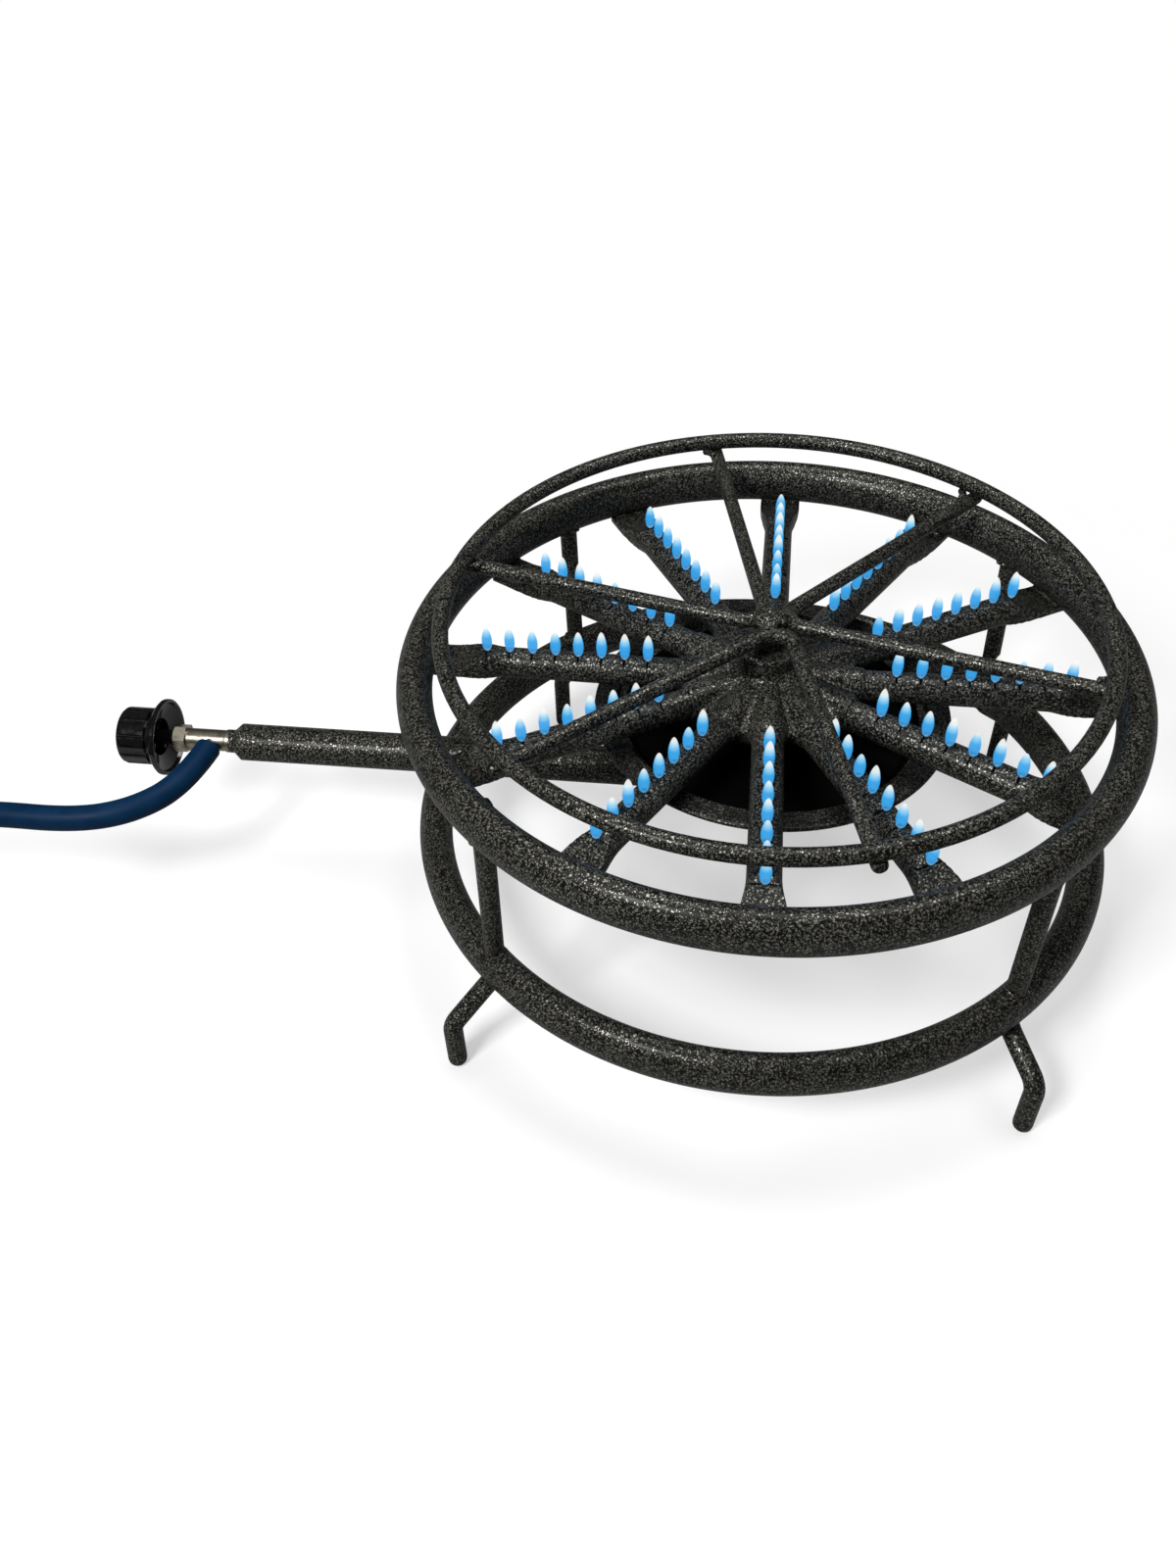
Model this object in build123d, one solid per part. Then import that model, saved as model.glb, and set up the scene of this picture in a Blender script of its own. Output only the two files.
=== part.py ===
from build123d import *
from math import atan2, cos, hypot, pi, radians, sin, tan
import os

# A round propane burner stand: a rolled ring of tube carries a twelve-armed burner under a
# loose pot trivet, above a second ring and four bent rod legs.  Millimetres and degrees.
# The origin is on the rings' axis at floor level, +Z is up, and the gas arrives along -X.

# ---------------------------------------------------------------- rings and legs
ring_radius = 214.2            # ring axis to the centreline of the rolled tube
ring_width = 21.6              # the rolled section is an upright oval: radial size
ring_height = 29.0             # and upright size
ring_crown_radius = 8.5        # tighter arcs at the oval's top and bottom
ring_wall = 1.5
burner_ring_z = 195.0          # centre heights of the two rings
base_ring_z = 73.4
seam_gap = 0.8                 # groove left at the butt weld that closes each ring
seam_depth = 0.7
burner_seam_azimuth = -135.2
base_seam_azimuth = 100.0
leg_rod = 12.0
leg_bend_radius = 9.0          # centreline radius of both bends of a leg
leg_fall = 10.0                # height lost along the sloping stretch above the foot
leg_entry = 6.0                # how far a leg's top reaches into the burner ring
foot_round = 4.0
rod_hole_play = 0.15           # drilled hole over rod, all round
# Each leg is bent by hand: azimuth on the rings, then azimuth and radius of its foot.
leg_set = {
    "front_left": (-132.5, -134.8, 249.6),
    "front_right": (-46.5, -49.2, 251.0),
    "back_left": (136.0, 135.0, 219.2),
    "back_right": (40.0, 36.8, 233.6),
}

# ---------------------------------------------------------------- burner
arm_count = 12
arm_axis_z = 178.0
arm_tube = 17.2
arm_wall = 2.0
arm_seat_radius = 47.0         # inner end of each arm, seated on a step in the hub
arm_pinch_start = 182.0        # where the round tube begins to flatten
arm_lip_start = 204.0
arm_lip_end = 217.0
arm_lip_width = 24.0
arm_lip_thick = 5.0
port_count = 8
port_first_radius = 75.5
port_pitch = 14.5
port_width = 1.2               # saw cut along the arm
port_depth = 2.8               # saw cut down from the top of the tube
socket_play = 0.15             # arm or riser in its hub socket, all round

hub_edge_radius = 54.0
hub_edge_z = 179.5
neck_end_radius = 57.5
neck_outer = 21.0
neck_root_outer = 24.0
neck_root_radius = 26.0
boss_radius = 14.8
boss_base_z = 194.5
boss_top_z = 207.0
socket_radius = 7.9            # blind socket for the trivet's spigot
socket_depth = 18.0
plenum_radius = 44.0
plenum_height = 12.0
plenum_crown = 5.0             # extra height of the plenum near the axis
plenum_crown_radius = 20.0
throat_radius = 11.0
arm_throat_radius = 6.8
inlet_bottom_z = 145.0         # underside of the inlet collar, where the heat shield sits
inlet_outer_radius = 18.0
inlet_collar_radius = 26.0
inlet_collar_height = 4.0
hub_skirt_z = 165.0            # lowest point of the bowl under the arms

# ---------------------------------------------------------------- heat shield and lock nut
shield_rim_z = 162.0           # top of the flat flange
shield_radius = 112.0
shield_flange = 13.5
shield_step_radius = 96.0
shield_step_z = 157.0
shield_wall_top_radius = 92.0
shield_floor_radius = 85.0
shield_sheet = 1.5
shield_hole_radius = 18.0
shield_shift = 5.0             # the loose pan sits this far off centre, away from the valve
shield_bead = 1.7              # radius of the rolled edge
lock_nut_flats = 50.0
lock_nut_height = 8.0

# ---------------------------------------------------------------- mixing tube
mixer_tube = 25.4
mixer_wall = 2.0
elbow_radius = 33.0
riser_top_z = 165.0
swage_start_x = -352.0         # the tube's mouth is drawn down onto the jet holder
swage_end_x = -357.3
mixer_mouth_x = -360.3
swage_radius = 8.0
air_hole_x = -339.0
air_hole_radius = 5.0

# ---------------------------------------------------------------- valve, on the tube's axis
valve_spigot_end_x = -346.0
valve_spigot_radius = 5.9
valve_body_radius = 7.4
valve_collar_length = 2.6
valve_body_end_x = -391.0
gland_stub_radius = 6.0
gland_stub_length = 4.5
gland_nut_flats = 17.4
gland_nut_length = 9.0
gland_end_wall = 2.4
packing_length = 2.0
spindle_radius = 3.0
needle_radius = 2.0
needle_tip_radius = 0.5
needle_lift = 1.0              # axial gap at the seat with the valve partly open
seat_x = -367.5
seat_bore_radius = 1.2
jet_socket_length = 8.0
jet_radius = 3.4
jet_head_flats = 7.0
jet_head_length = 3.0
jet_orifice_radius = 0.5
gas_passage_radius = 2.0
running_play = 0.06            # turning spindle in its bores, all round
thread_play = 0.05             # screwed pieces, all round
branch_x = -373.0              # side branch that takes the hose tail
branch_lean = 8.0              # lean of the branch towards the knob
branch_radius = 5.5
branch_length = 8.6
tail_radius = 4.5
tail_barb = 0.4
tail_length = 15.0
tail_root_radius = 3.5
tail_root_length = 4.0
tail_bore_radius = 2.0

# ---------------------------------------------------------------- control knob
knob_collar_x = -400.3
knob_rim_x = -405.4            # open back edge of the flange
knob_rim_radius = 26.5
knob_rim_width = 4.0
knob_neck_radius = 17.5
knob_neck_x = -413.0
knob_grip_x = -415.8           # nearer end of the scalloped grip
knob_grip_radius = 19.75
knob_face_x = -436.0
knob_face_round = 3.0
knob_lobes = 10
knob_flute_radius = 2.6
knob_flute_depth = 1.7
knob_collar_radius = 5.0
knob_cavity_radius = 13.0
knob_cavity_end_x = -430.0
knob_ribs = 5
knob_rib_thick = 1.6
spindle_end_x = -427.0
spindle_flat = 2.2             # distance of the drive flat from the spindle's axis

# ---------------------------------------------------------------- trivet
trivet_radius = 194.7
trivet_rod = 10.0
trivet_z = 233.35
trivet_bar = 9.0
trivet_bar_overhang = 10.3     # the bars' ends stand out past the ring's centreline
trivet_bar_azimuth = 15.6      # bisector of the first V
trivet_half_angle = 30.0
trivet_lean = 1.4              # the loose spigot leans in its socket, back edge up
spigot_radius = 7.5
spigot_floor_gap = 0.3
bar_spigot_play = 0.05

# ---------------------------------------------------------------- hose
hose_outer = 17.0
hose_bore = 10.0
hose_end_gap = 0.4             # hose end to the shoulder of the valve's branch
tie_thick = 1.0
tie_width = 14.0
soft_gap = 0.3
coil_first_radius = 79.0       # the hose lands inside the coil and winds outwards
coil_near_step = 36.0          # first turn to the landing hose, centre to centre
coil_gap = 1.2                 # clear space between neighbouring turns
coil_half_turns = 4
coil_tail_radius = 60.0
coil_tail_turn = 50.0
coil_tail_straight = 50.0
ferrule_radius = 9.4
ferrule_length = 18.0
nipple_radius = 5.6
end_nut_flats = 19.0
end_nut_length = 17.0
end_nut_bore_radius = 7.6
end_nut_bore_depth = 10.0
end_nut_shoulder = 4.0         # the nut's rear wall, which bears on the nipple's head
nipple_head_radius = 6.9

os.makedirs("parts", exist_ok=True)


def write_part(shape, name):
    """Write one node; a one-solid compound is written as its solid."""
    solids = shape.solids()
    whole = solids[0] if len(solids) == 1 else Compound(children=list(solids))
    export_step(whole, "parts/" + name + ".step")
    print(f"{name:24s} {len(solids)} solid  {whole.volume / 1000:9.2f} cm3")


def on_circle(radius, azimuth, z=0.0):
    return Vector(radius * cos(radians(azimuth)), radius * sin(radians(azimuth)), z)


def rod_along(path, radius):
    """Round rod whose centreline is the given wire."""
    start = Plane(origin=path @ 0, z_dir=path % 0)
    return sweep(start * Circle(radius), path=path)


def cylinder_between(start, end, radius):
    direction = end - start
    plane = Plane(origin=start, z_dir=direction)
    return plane * Cylinder(radius, direction.length, align=(Align.CENTER, Align.CENTER, Align.MIN))


# ---------------------------------------------------------------- the two rolled rings
def oval(shrink=0.0):
    """Four-arc oval of the rolled tube, drawn about its own centre."""
    half_width = ring_width / 2
    half_height = ring_height / 2
    crown_offset = half_height - ring_crown_radius
    side_radius = (crown_offset**2 + half_width**2 - ring_crown_radius**2) / (
        2 * (half_width - ring_crown_radius))
    side_offset = side_radius - half_width
    crown = ring_crown_radius - shrink
    share = crown / hypot(side_offset, crown_offset)
    x = share * side_offset
    y = crown_offset + share * crown_offset
    return make_face(Wire([
        ThreePointArc((-x, y), (0, half_height - shrink), (x, y)),
        ThreePointArc((x, y), (half_width - shrink, 0), (x, -y)),
        ThreePointArc((x, -y), (0, shrink - half_height), (-x, -y)),
        ThreePointArc((-x, -y), (shrink - half_width, 0), (-x, y)),
    ]))


def rolled_ring(centre_z, seam_azimuth, hole_top_z):
    """Hollow oval ring with its butt seam and the drilled holes that take the legs."""
    on_section = Plane.XZ * Pos(ring_radius, centre_z)
    ring = revolve(on_section * oval(), Axis.Z)
    groove = extrude(on_section * (oval(-1.0) - oval(seam_depth)), amount=seam_gap / 2, both=True)
    ring -= Rot(Z=seam_azimuth) * groove
    for ring_azimuth, foot_azimuth, foot_radius in leg_set.values():
        hole_bottom = on_circle(ring_radius, ring_azimuth, centre_z - ring_height / 2 - 1)
        hole_top = on_circle(ring_radius, ring_azimuth, hole_top_z)
        ring -= cylinder_between(hole_bottom, hole_top, leg_rod / 2 + rod_hole_play)
    return ring - revolve(on_section * oval(ring_wall), Axis.Z)


burner_ring_bottom = burner_ring_z - ring_height / 2
base_ring_bottom = base_ring_z - ring_height / 2
base_ring_top = base_ring_z + ring_height / 2
write_part(rolled_ring(burner_ring_z, burner_seam_azimuth, burner_ring_z), "burner_ring")
write_part(rolled_ring(base_ring_z, base_seam_azimuth, base_ring_top + 1), "base_ring")


# ---------------------------------------------------------------- legs
leg_top_z = burner_ring_bottom + leg_entry
for leg_name, (ring_azimuth, foot_azimuth, foot_radius) in leg_set.items():
    leg_on_ring = on_circle(ring_radius, ring_azimuth)
    foot = on_circle(foot_radius, foot_azimuth)
    splay = (foot - leg_on_ring).length
    knee_turn = atan2(splay, leg_fall)
    knee_z = base_ring_bottom - leg_bend_radius * tan(knee_turn / 2)
    ankle_z = knee_z - leg_fall
    centreline = FilletPolyline(
        leg_on_ring + Vector(0, 0, leg_top_z),
        leg_on_ring + Vector(0, 0, knee_z),
        foot + Vector(0, 0, ankle_z),
        foot,
        radius=leg_bend_radius,
    )
    leg = rod_along(centreline, leg_rod / 2)
    leg = fillet(leg.edges().group_by(Axis.Z)[0], foot_round)
    write_part(leg, "leg_" + leg_name)


# ---------------------------------------------------------------- burner hub
def lathe_z(points):
    """Body turned about the stand's axis from (radius, height) points."""
    return revolve(Plane.XZ * make_face(Polyline(*points, close=True)), Axis.Z)


def spoke(azimuth):
    """Plane whose normal points out along one arm, with its local Y axis upright."""
    return Plane(origin=(0, 0, arm_axis_z), x_dir=(-sin(radians(azimuth)), cos(radians(azimuth)), 0),
                 z_dir=(cos(radians(azimuth)), sin(radians(azimuth)), 0))


bowl_radius = plenum_radius + 6.0
hub = lathe_z([
    (0, inlet_bottom_z),
    (inlet_collar_radius, inlet_bottom_z),
    (inlet_collar_radius, inlet_bottom_z + inlet_collar_height),
    (inlet_outer_radius, inlet_bottom_z + inlet_collar_height + 2.5),
    (inlet_outer_radius, hub_skirt_z - 3),
    (bowl_radius - 12, hub_skirt_z),
    (bowl_radius, hub_skirt_z + 5),
    (hub_edge_radius, hub_edge_z - 3),
    (hub_edge_radius, hub_edge_z),
    (boss_radius + 3.5, boss_base_z - 1.5),
    (boss_radius, boss_base_z + 1.5),
    (boss_radius, boss_top_z),
    (0, boss_top_z),
])
neck_length = neck_end_radius - neck_root_radius
for arm in range(arm_count):
    neck_plane = spoke(360.0 * arm / arm_count)
    hub += neck_plane * Pos(0, 0, neck_root_radius) * Cone(
        neck_root_outer / 2, neck_outer / 2, neck_length,
        align=(Align.CENTER, Align.CENTER, Align.MIN))

plenum_floor = arm_axis_z - plenum_height / 2
plenum_top = arm_axis_z + plenum_height / 2 - 3.0
hub -= lathe_z([
    (0, plenum_floor),
    (plenum_radius, plenum_floor),
    (plenum_radius, plenum_top),
    (plenum_crown_radius, plenum_top + plenum_crown),
    (0, plenum_top + plenum_crown),
])
hub -= cylinder_between(Vector(0, 0, inlet_bottom_z - 1), Vector(0, 0, riser_top_z),
                        mixer_tube / 2 + socket_play)
hub -= cylinder_between(Vector(0, 0, riser_top_z - 1), Vector(0, 0, plenum_floor + 1), throat_radius)
hub -= cylinder_between(Vector(0, 0, boss_top_z - socket_depth), Vector(0, 0, boss_top_z + 1),
                        socket_radius)
for arm in range(arm_count):
    neck_plane = spoke(360.0 * arm / arm_count)
    seat = neck_plane * Pos(0, 0, arm_seat_radius) * Cylinder(
        arm_tube / 2 + socket_play, 20, align=(Align.CENTER, Align.CENTER, Align.MIN))
    throat = neck_plane * Pos(0, 0, plenum_radius - 6) * Cylinder(
        arm_throat_radius, 20, align=(Align.CENTER, Align.CENTER, Align.MIN))
    hub = hub - seat - throat
write_part(hub, "burner_hub")

# ---------------------------------------------------------------- burner arms
first = spoke(0.0)
bore_radius = arm_tube / 2 - arm_wall
arm_body = first * Pos(0, 0, arm_seat_radius) * Cylinder(
    arm_tube / 2, arm_pinch_start - arm_seat_radius, align=(Align.CENTER, Align.CENTER, Align.MIN))
lip_z = burner_ring_bottom - arm_lip_thick / 2
lip_plane = Plane(origin=(0, 0, lip_z), x_dir=(0, 1, 0), z_dir=(1, 0, 0))
lip_sketch = lip_plane * Pos(0, 0, arm_lip_start) * SlotOverall(arm_lip_width, arm_lip_thick)
round_sketch = first * Pos(0, 0, arm_pinch_start) * Circle(arm_tube / 2)
arm_body += loft([round_sketch.face(), lip_sketch.face()])
arm_body += extrude(lip_sketch, amount=arm_lip_end - arm_lip_start)
bore = first * Pos(0, 0, arm_seat_radius) * Cylinder(
    bore_radius, arm_pinch_start - arm_seat_radius, align=(Align.CENTER, Align.CENTER, Align.MIN))
bore_end = arm_lip_start - 3
bore += loft([
    (first * Pos(0, 0, arm_pinch_start) * Circle(bore_radius)).face(),
    (lip_plane * Pos(0, 0, bore_end) * Ellipse(arm_lip_width / 2 - arm_wall, 0.3)).face(),
])
arm_body -= bore
arm_top_z = arm_axis_z + arm_tube / 2
for port in range(port_count):
    port_x = port_first_radius + port * port_pitch
    arm_body -= Pos(port_x, 0, arm_top_z - port_depth) * Box(
        port_width, arm_tube, 2 * port_depth, align=(Align.CENTER, Align.CENTER, Align.MIN))
for arm in range(arm_count):
    write_part(Rot(Z=360.0 * arm / arm_count) * arm_body, f"burner_arm_{arm + 1:02d}")

# ---------------------------------------------------------------- heat shield and its lock nut
shield_top = [
    (shield_hole_radius, inlet_bottom_z),
    (shield_floor_radius, inlet_bottom_z),
    (shield_wall_top_radius, shield_step_z - 1),
    (shield_step_radius, shield_step_z),
    (shield_radius - shield_flange, shield_rim_z),
    (shield_radius, shield_rim_z),
]
outward = 0.6 * shield_sheet
shield_under = [(radius + outward, z - shield_sheet) for radius, z in shield_top[1:-1]]
shield_under.insert(0, (shield_hole_radius, inlet_bottom_z - shield_sheet))
shield_under.append((shield_radius, shield_rim_z - shield_sheet))
heat_shield = lathe_z(shield_top + shield_under[::-1])
heat_shield += Pos(0, 0, shield_rim_z - shield_bead) * Torus(shield_radius, shield_bead)
write_part(Pos(shield_shift, 0, 0) * heat_shield, "heat_shield")

nut_top_z = inlet_bottom_z - shield_sheet
lock_nut_sketch = RegularPolygon(lock_nut_flats / 2, 6, major_radius=False)
lock_nut_sketch -= Circle(mixer_tube / 2 + socket_play)
lock_nut = Pos(0, 0, nut_top_z - lock_nut_height) * extrude(lock_nut_sketch, amount=lock_nut_height)
lock_nut_bevel = Pos(0, 0, nut_top_z - lock_nut_height) * Cone(
    lock_nut_flats / 2, lock_nut_flats / 2 + lock_nut_height * 2.2, lock_nut_height,
    align=(Align.CENTER, Align.CENTER, Align.MIN))
write_part(lock_nut & lock_nut_bevel, "shield_lock_nut")

# ---------------------------------------------------------------- mixing tube
mixer_z = base_ring_top + mixer_tube / 2       # the tube lies on the base ring
valve_axis = Axis((0, 0, mixer_z), (1, 0, 0))


def lathe_x(points):
    """Body turned about the valve's axis from (x, radius) points."""
    outline = Polyline(*[(x, mixer_z + radius) for x, radius in points], close=True)
    return revolve(Plane.XZ * make_face(outline), valve_axis)


mixer_path = FilletPolyline((swage_start_x, 0, mixer_z), (0, 0, mixer_z), (0, 0, riser_top_z),
                            radius=elbow_radius)
mixing_tube = rod_along(mixer_path, mixer_tube / 2)
mixing_tube += lathe_x([
    (swage_start_x, 0),
    (swage_start_x, mixer_tube / 2),
    (swage_end_x, swage_radius),
    (mixer_mouth_x, swage_radius),
    (mixer_mouth_x, 0),
])
mouth_bore = valve_spigot_radius + thread_play
mixing_tube -= rod_along(mixer_path, mixer_tube / 2 - mixer_wall)
mixing_tube -= lathe_x([
    (swage_start_x, 0),
    (swage_start_x, mixer_tube / 2 - mixer_wall),
    (swage_end_x, mouth_bore),
    (mixer_mouth_x, mouth_bore),
    (mixer_mouth_x, 0),
])
mixing_tube -= cylinder_between(Vector(air_hole_x, 0, mixer_z - mixer_tube), Vector(air_hole_x, 0, mixer_z),
                                air_hole_radius)
write_part(mixing_tube, "mixing_tube")

# ---------------------------------------------------------------- valve body, jet and hose tail
branch_foot = Vector(branch_x, 0, mixer_z)
branch_way = Vector(-sin(radians(branch_lean)), -cos(radians(branch_lean)), 0)
collar_end_x = mixer_mouth_x - valve_collar_length
jet_socket_end_x = valve_spigot_end_x - jet_socket_length
stub_end_x = valve_body_end_x - gland_stub_length
spindle_bore = spindle_radius + running_play
chamber_end_x = branch_x - branch_radius - 2.0
valve_body = lathe_x([
    (valve_spigot_end_x, 0),
    (valve_spigot_end_x, valve_spigot_radius),
    (mixer_mouth_x, valve_spigot_radius),
    (mixer_mouth_x, swage_radius),
    (collar_end_x, swage_radius),
    (collar_end_x - 0.8, valve_body_radius),
    (valve_body_end_x, valve_body_radius),
    (valve_body_end_x, gland_stub_radius),
    (stub_end_x, gland_stub_radius),
    (stub_end_x, 0),
])
valve_body += cylinder_between(branch_foot, branch_foot + branch_way * branch_length, branch_radius)
valve_body -= lathe_x([
    (valve_spigot_end_x, 0),
    (valve_spigot_end_x, jet_radius + thread_play),
    (jet_socket_end_x, jet_radius + thread_play),
    (jet_socket_end_x, gas_passage_radius),
    (seat_x + 3.0, gas_passage_radius),
    (seat_x + 2.0, seat_bore_radius),
    (seat_x, seat_bore_radius),
    (seat_x - 1.3, spindle_bore),
    (stub_end_x, spindle_bore),
    (stub_end_x, 0),
])
tail_seat = branch_length - tail_root_length
valve_body -= cylinder_between(branch_foot + branch_way * tail_seat,
                               branch_foot + branch_way * (branch_length + 1),
                               tail_root_radius + thread_play)
valve_body -= cylinder_between(branch_foot, branch_foot + branch_way * branch_length, tail_bore_radius)
write_part(valve_body, "valve_body")

jet_end_x = valve_spigot_end_x + jet_head_length
gas_jet = lathe_x([
    (jet_socket_end_x, 0),
    (jet_socket_end_x, jet_radius),
    (jet_end_x, jet_radius),
    (jet_end_x, 0),
])
jet_plane = Plane(origin=(valve_spigot_end_x, 0, mixer_z), x_dir=(0, 1, 0), z_dir=(1, 0, 0))
gas_jet += extrude(jet_plane * RegularPolygon(jet_head_flats / 2, 6, major_radius=False),
                   amount=jet_head_length)
gas_jet -= lathe_x([
    (jet_socket_end_x, 0),
    (jet_socket_end_x, gas_passage_radius),
    (jet_end_x - 2.5, gas_passage_radius),
    (jet_end_x - 1.5, jet_orifice_radius),
    (jet_end_x, jet_orifice_radius),
    (jet_end_x, 0),
])
write_part(gas_jet, "gas_jet")

# The tail is turned on its own axis, which runs out along the branch.
tail_pitch = tail_length / 3
tail_points = [(0, -tail_root_length), (tail_root_radius, -tail_root_length), (tail_root_radius, 0)]
for ridge in range(3):
    tail_points.append((tail_radius, ridge * tail_pitch))
    tail_points.append((tail_radius + tail_barb, ridge * tail_pitch + 1.0))
    tail_points.append((tail_radius, (ridge + 1) * tail_pitch - 0.3))
tail_points += [(tail_bore_radius + 1.2, tail_length), (0, tail_length)]
tail_plane = Plane(origin=branch_foot + branch_way * branch_length, z_dir=branch_way)
hose_tail = tail_plane * (lathe_z(tail_points) - Cylinder(tail_bore_radius, 3 * tail_length))
write_part(hose_tail, "hose_tail")

# ---------------------------------------------------------------- gland nut, packing, spindle
nut_end_x = valve_body_end_x - gland_nut_length
nut_wall_x = nut_end_x + gland_end_wall
gland_plane = Plane(origin=(valve_body_end_x, 0, mixer_z), x_dir=(0, 0, 1), z_dir=(-1, 0, 0))
gland_nut = extrude(gland_plane * RegularPolygon(gland_nut_flats / 2, 6, major_radius=False),
                    amount=gland_nut_length)
gland_nut &= lathe_x([
    (valve_body_end_x, 0),
    (valve_body_end_x, gland_nut_flats / 2 + 1.6),
    (nut_end_x + 1.4, gland_nut_flats / 2 + 1.6),
    (nut_end_x, gland_nut_flats / 2 - 0.6),
    (nut_end_x, 0),
])
gland_nut -= lathe_x([
    (valve_body_end_x, 0),
    (valve_body_end_x, gland_stub_radius + thread_play),
    (nut_wall_x, gland_stub_radius + thread_play),
    (nut_wall_x, spindle_bore),
    (nut_end_x, spindle_bore),
    (nut_end_x, 0),
])
write_part(gland_nut, "gland_nut")

gland_packing = lathe_x([
    (nut_wall_x, spindle_bore),
    (nut_wall_x, gland_stub_radius),
    (nut_wall_x + packing_length, gland_stub_radius),
    (nut_wall_x + packing_length, spindle_bore),
])
write_part(gland_packing, "gland_packing")

needle_tip_x = seat_x - needle_lift
valve_spindle = lathe_x([
    (needle_tip_x, 0),
    (needle_tip_x, needle_tip_radius),
    (needle_tip_x - 4.0, needle_radius),
    (chamber_end_x, needle_radius),
    (chamber_end_x - 1.0, spindle_radius),
    (spindle_end_x, spindle_radius),
    (spindle_end_x, 0),
])
drive_length = knob_cavity_end_x - knob_neck_x
drive_flat = Pos(spindle_end_x, 0, mixer_z + spindle_flat) * Box(
    abs(drive_length) - 4.0, 2 * spindle_radius, spindle_radius,
    align=(Align.MIN, Align.CENTER, Align.MIN))
valve_spindle -= drive_flat
write_part(valve_spindle, "valve_spindle")

# ---------------------------------------------------------------- control knob
knob = lathe_x([
    (knob_rim_x, 0),
    (knob_rim_x, knob_rim_radius - 0.8),
    (knob_rim_x - 0.8, knob_rim_radius),
    (knob_rim_x - knob_rim_width + 1.2, knob_rim_radius),
    (knob_rim_x - knob_rim_width, knob_rim_radius - 1.2),
    (knob_neck_x, knob_neck_radius),
    (knob_grip_x, knob_neck_radius),
    (knob_grip_x, 0),
])
grip_plane = Plane(origin=(knob_grip_x, 0, mixer_z), x_dir=(0, 0, 1), z_dir=(-1, 0, 0))
grip_length = knob_grip_x - knob_face_x
grip = extrude(grip_plane * Circle(knob_grip_radius), amount=grip_length)
grip = fillet(grip.edges().group_by(Axis.X)[0], knob_face_round)
for lobe in range(knob_lobes):
    flute_angle = radians(360.0 * (lobe + 0.5) / knob_lobes)
    flute_distance = knob_grip_radius + knob_flute_radius - knob_flute_depth
    grip -= grip_plane * Pos(flute_distance * cos(flute_angle), flute_distance * sin(flute_angle), -1) \
        * Cylinder(knob_flute_radius, grip_length + 2, align=(Align.CENTER, Align.CENTER, Align.MIN))
knob += grip
dish_slope_x = knob_neck_x + 1.5
knob -= lathe_x([
    (knob_rim_x, 0),
    (knob_rim_x, knob_rim_radius - 2.2),
    (knob_rim_x - 2.2, knob_rim_radius - 3.4),
    (dish_slope_x, knob_cavity_radius),
    (knob_cavity_end_x, knob_cavity_radius),
    (knob_cavity_end_x, 0),
])
knob += lathe_x([
    (knob_collar_x, 0),
    (knob_collar_x, knob_collar_radius),
    (knob_cavity_end_x, knob_collar_radius + 0.6),
    (knob_cavity_end_x, 0),
])
for rib in range(knob_ribs):
    rib_box = Pos(knob_cavity_end_x, 0, 0) * Box(
        knob_grip_x - knob_cavity_end_x, knob_rib_thick, knob_cavity_radius + 1.0,
        align=(Align.MIN, Align.CENTER, Align.MIN))
    knob += Pos(0, 0, mixer_z) * Rot(X=360.0 * rib / knob_ribs) * rib_box
drive_bore = lathe_x([
    (knob_collar_x, 0),
    (knob_collar_x, spindle_radius + thread_play),
    (spindle_end_x - 0.5, spindle_radius + thread_play),
    (spindle_end_x - 0.5, 0),
])
drive_bore -= Pos(0, 0, thread_play) * drive_flat
knob -= drive_bore
write_part(knob, "control_knob")

# ---------------------------------------------------------------- pot trivet, leaning in its socket
socket_floor_z = boss_top_z - socket_depth
lean_pivot_z = boss_top_z - socket_depth / 2
bar_z = trivet_z - trivet_rod / 2 - trivet_bar / 2
trivet_bar_reach = trivet_radius + trivet_bar_overhang
apex_radius = (spigot_radius + trivet_bar / 2 + bar_spigot_play) / (1 / sin(radians(trivet_half_angle)) - 1)


def leaned(shape):
    """Tip a piece of the trivet about the middle of the socket."""
    return Pos(0, 0, lean_pivot_z) * Rot(X=trivet_lean) * Pos(0, 0, -lean_pivot_z) * shape


write_part(leaned(Pos(0, 0, trivet_z) * Torus(trivet_radius, trivet_rod / 2)), "trivet_ring")
for bar in range(3):
    bisector = trivet_bar_azimuth + 120.0 * bar
    bar_path = FilletPolyline(
        on_circle(trivet_bar_reach, bisector - trivet_half_angle, bar_z),
        Vector(0, 0, bar_z),
        on_circle(trivet_bar_reach, bisector + trivet_half_angle, bar_z),
        radius=apex_radius,
    )
    write_part(leaned(rod_along(bar_path, trivet_bar / 2)), f"trivet_bar_{bar + 1}")
spigot_bottom_z = socket_floor_z + spigot_floor_gap + spigot_radius * sin(radians(trivet_lean))
spigot_top_z = bar_z + trivet_bar / 2
spigot = cylinder_between(Vector(0, 0, spigot_bottom_z), Vector(0, 0, spigot_top_z), spigot_radius)
write_part(leaned(spigot), "trivet_spigot")

# ---------------------------------------------------------------- hose
floor_z = hose_outer / 2 + tie_thick + soft_gap     # centreline height where the hose lies
hose_start = branch_foot + branch_way * (branch_length + hose_end_gap)
hose_points = [
    hose_start,
    hose_start + branch_way * 36.0,
    Vector(-403.4, -71.3, 99.4),
    Vector(-439.3, -83.7, 98.8),
    Vector(-499.3, -84.7, 101.5),
    Vector(-575.0, -84.0, 92.0),
    Vector(-636.0, -81.5, 63.0),
    Vector(-692.0, -78.5, 31.5),
    Vector(-728.0, -76.0, floor_z),
    Vector(-764.0, -73.2, floor_z),
]


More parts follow.
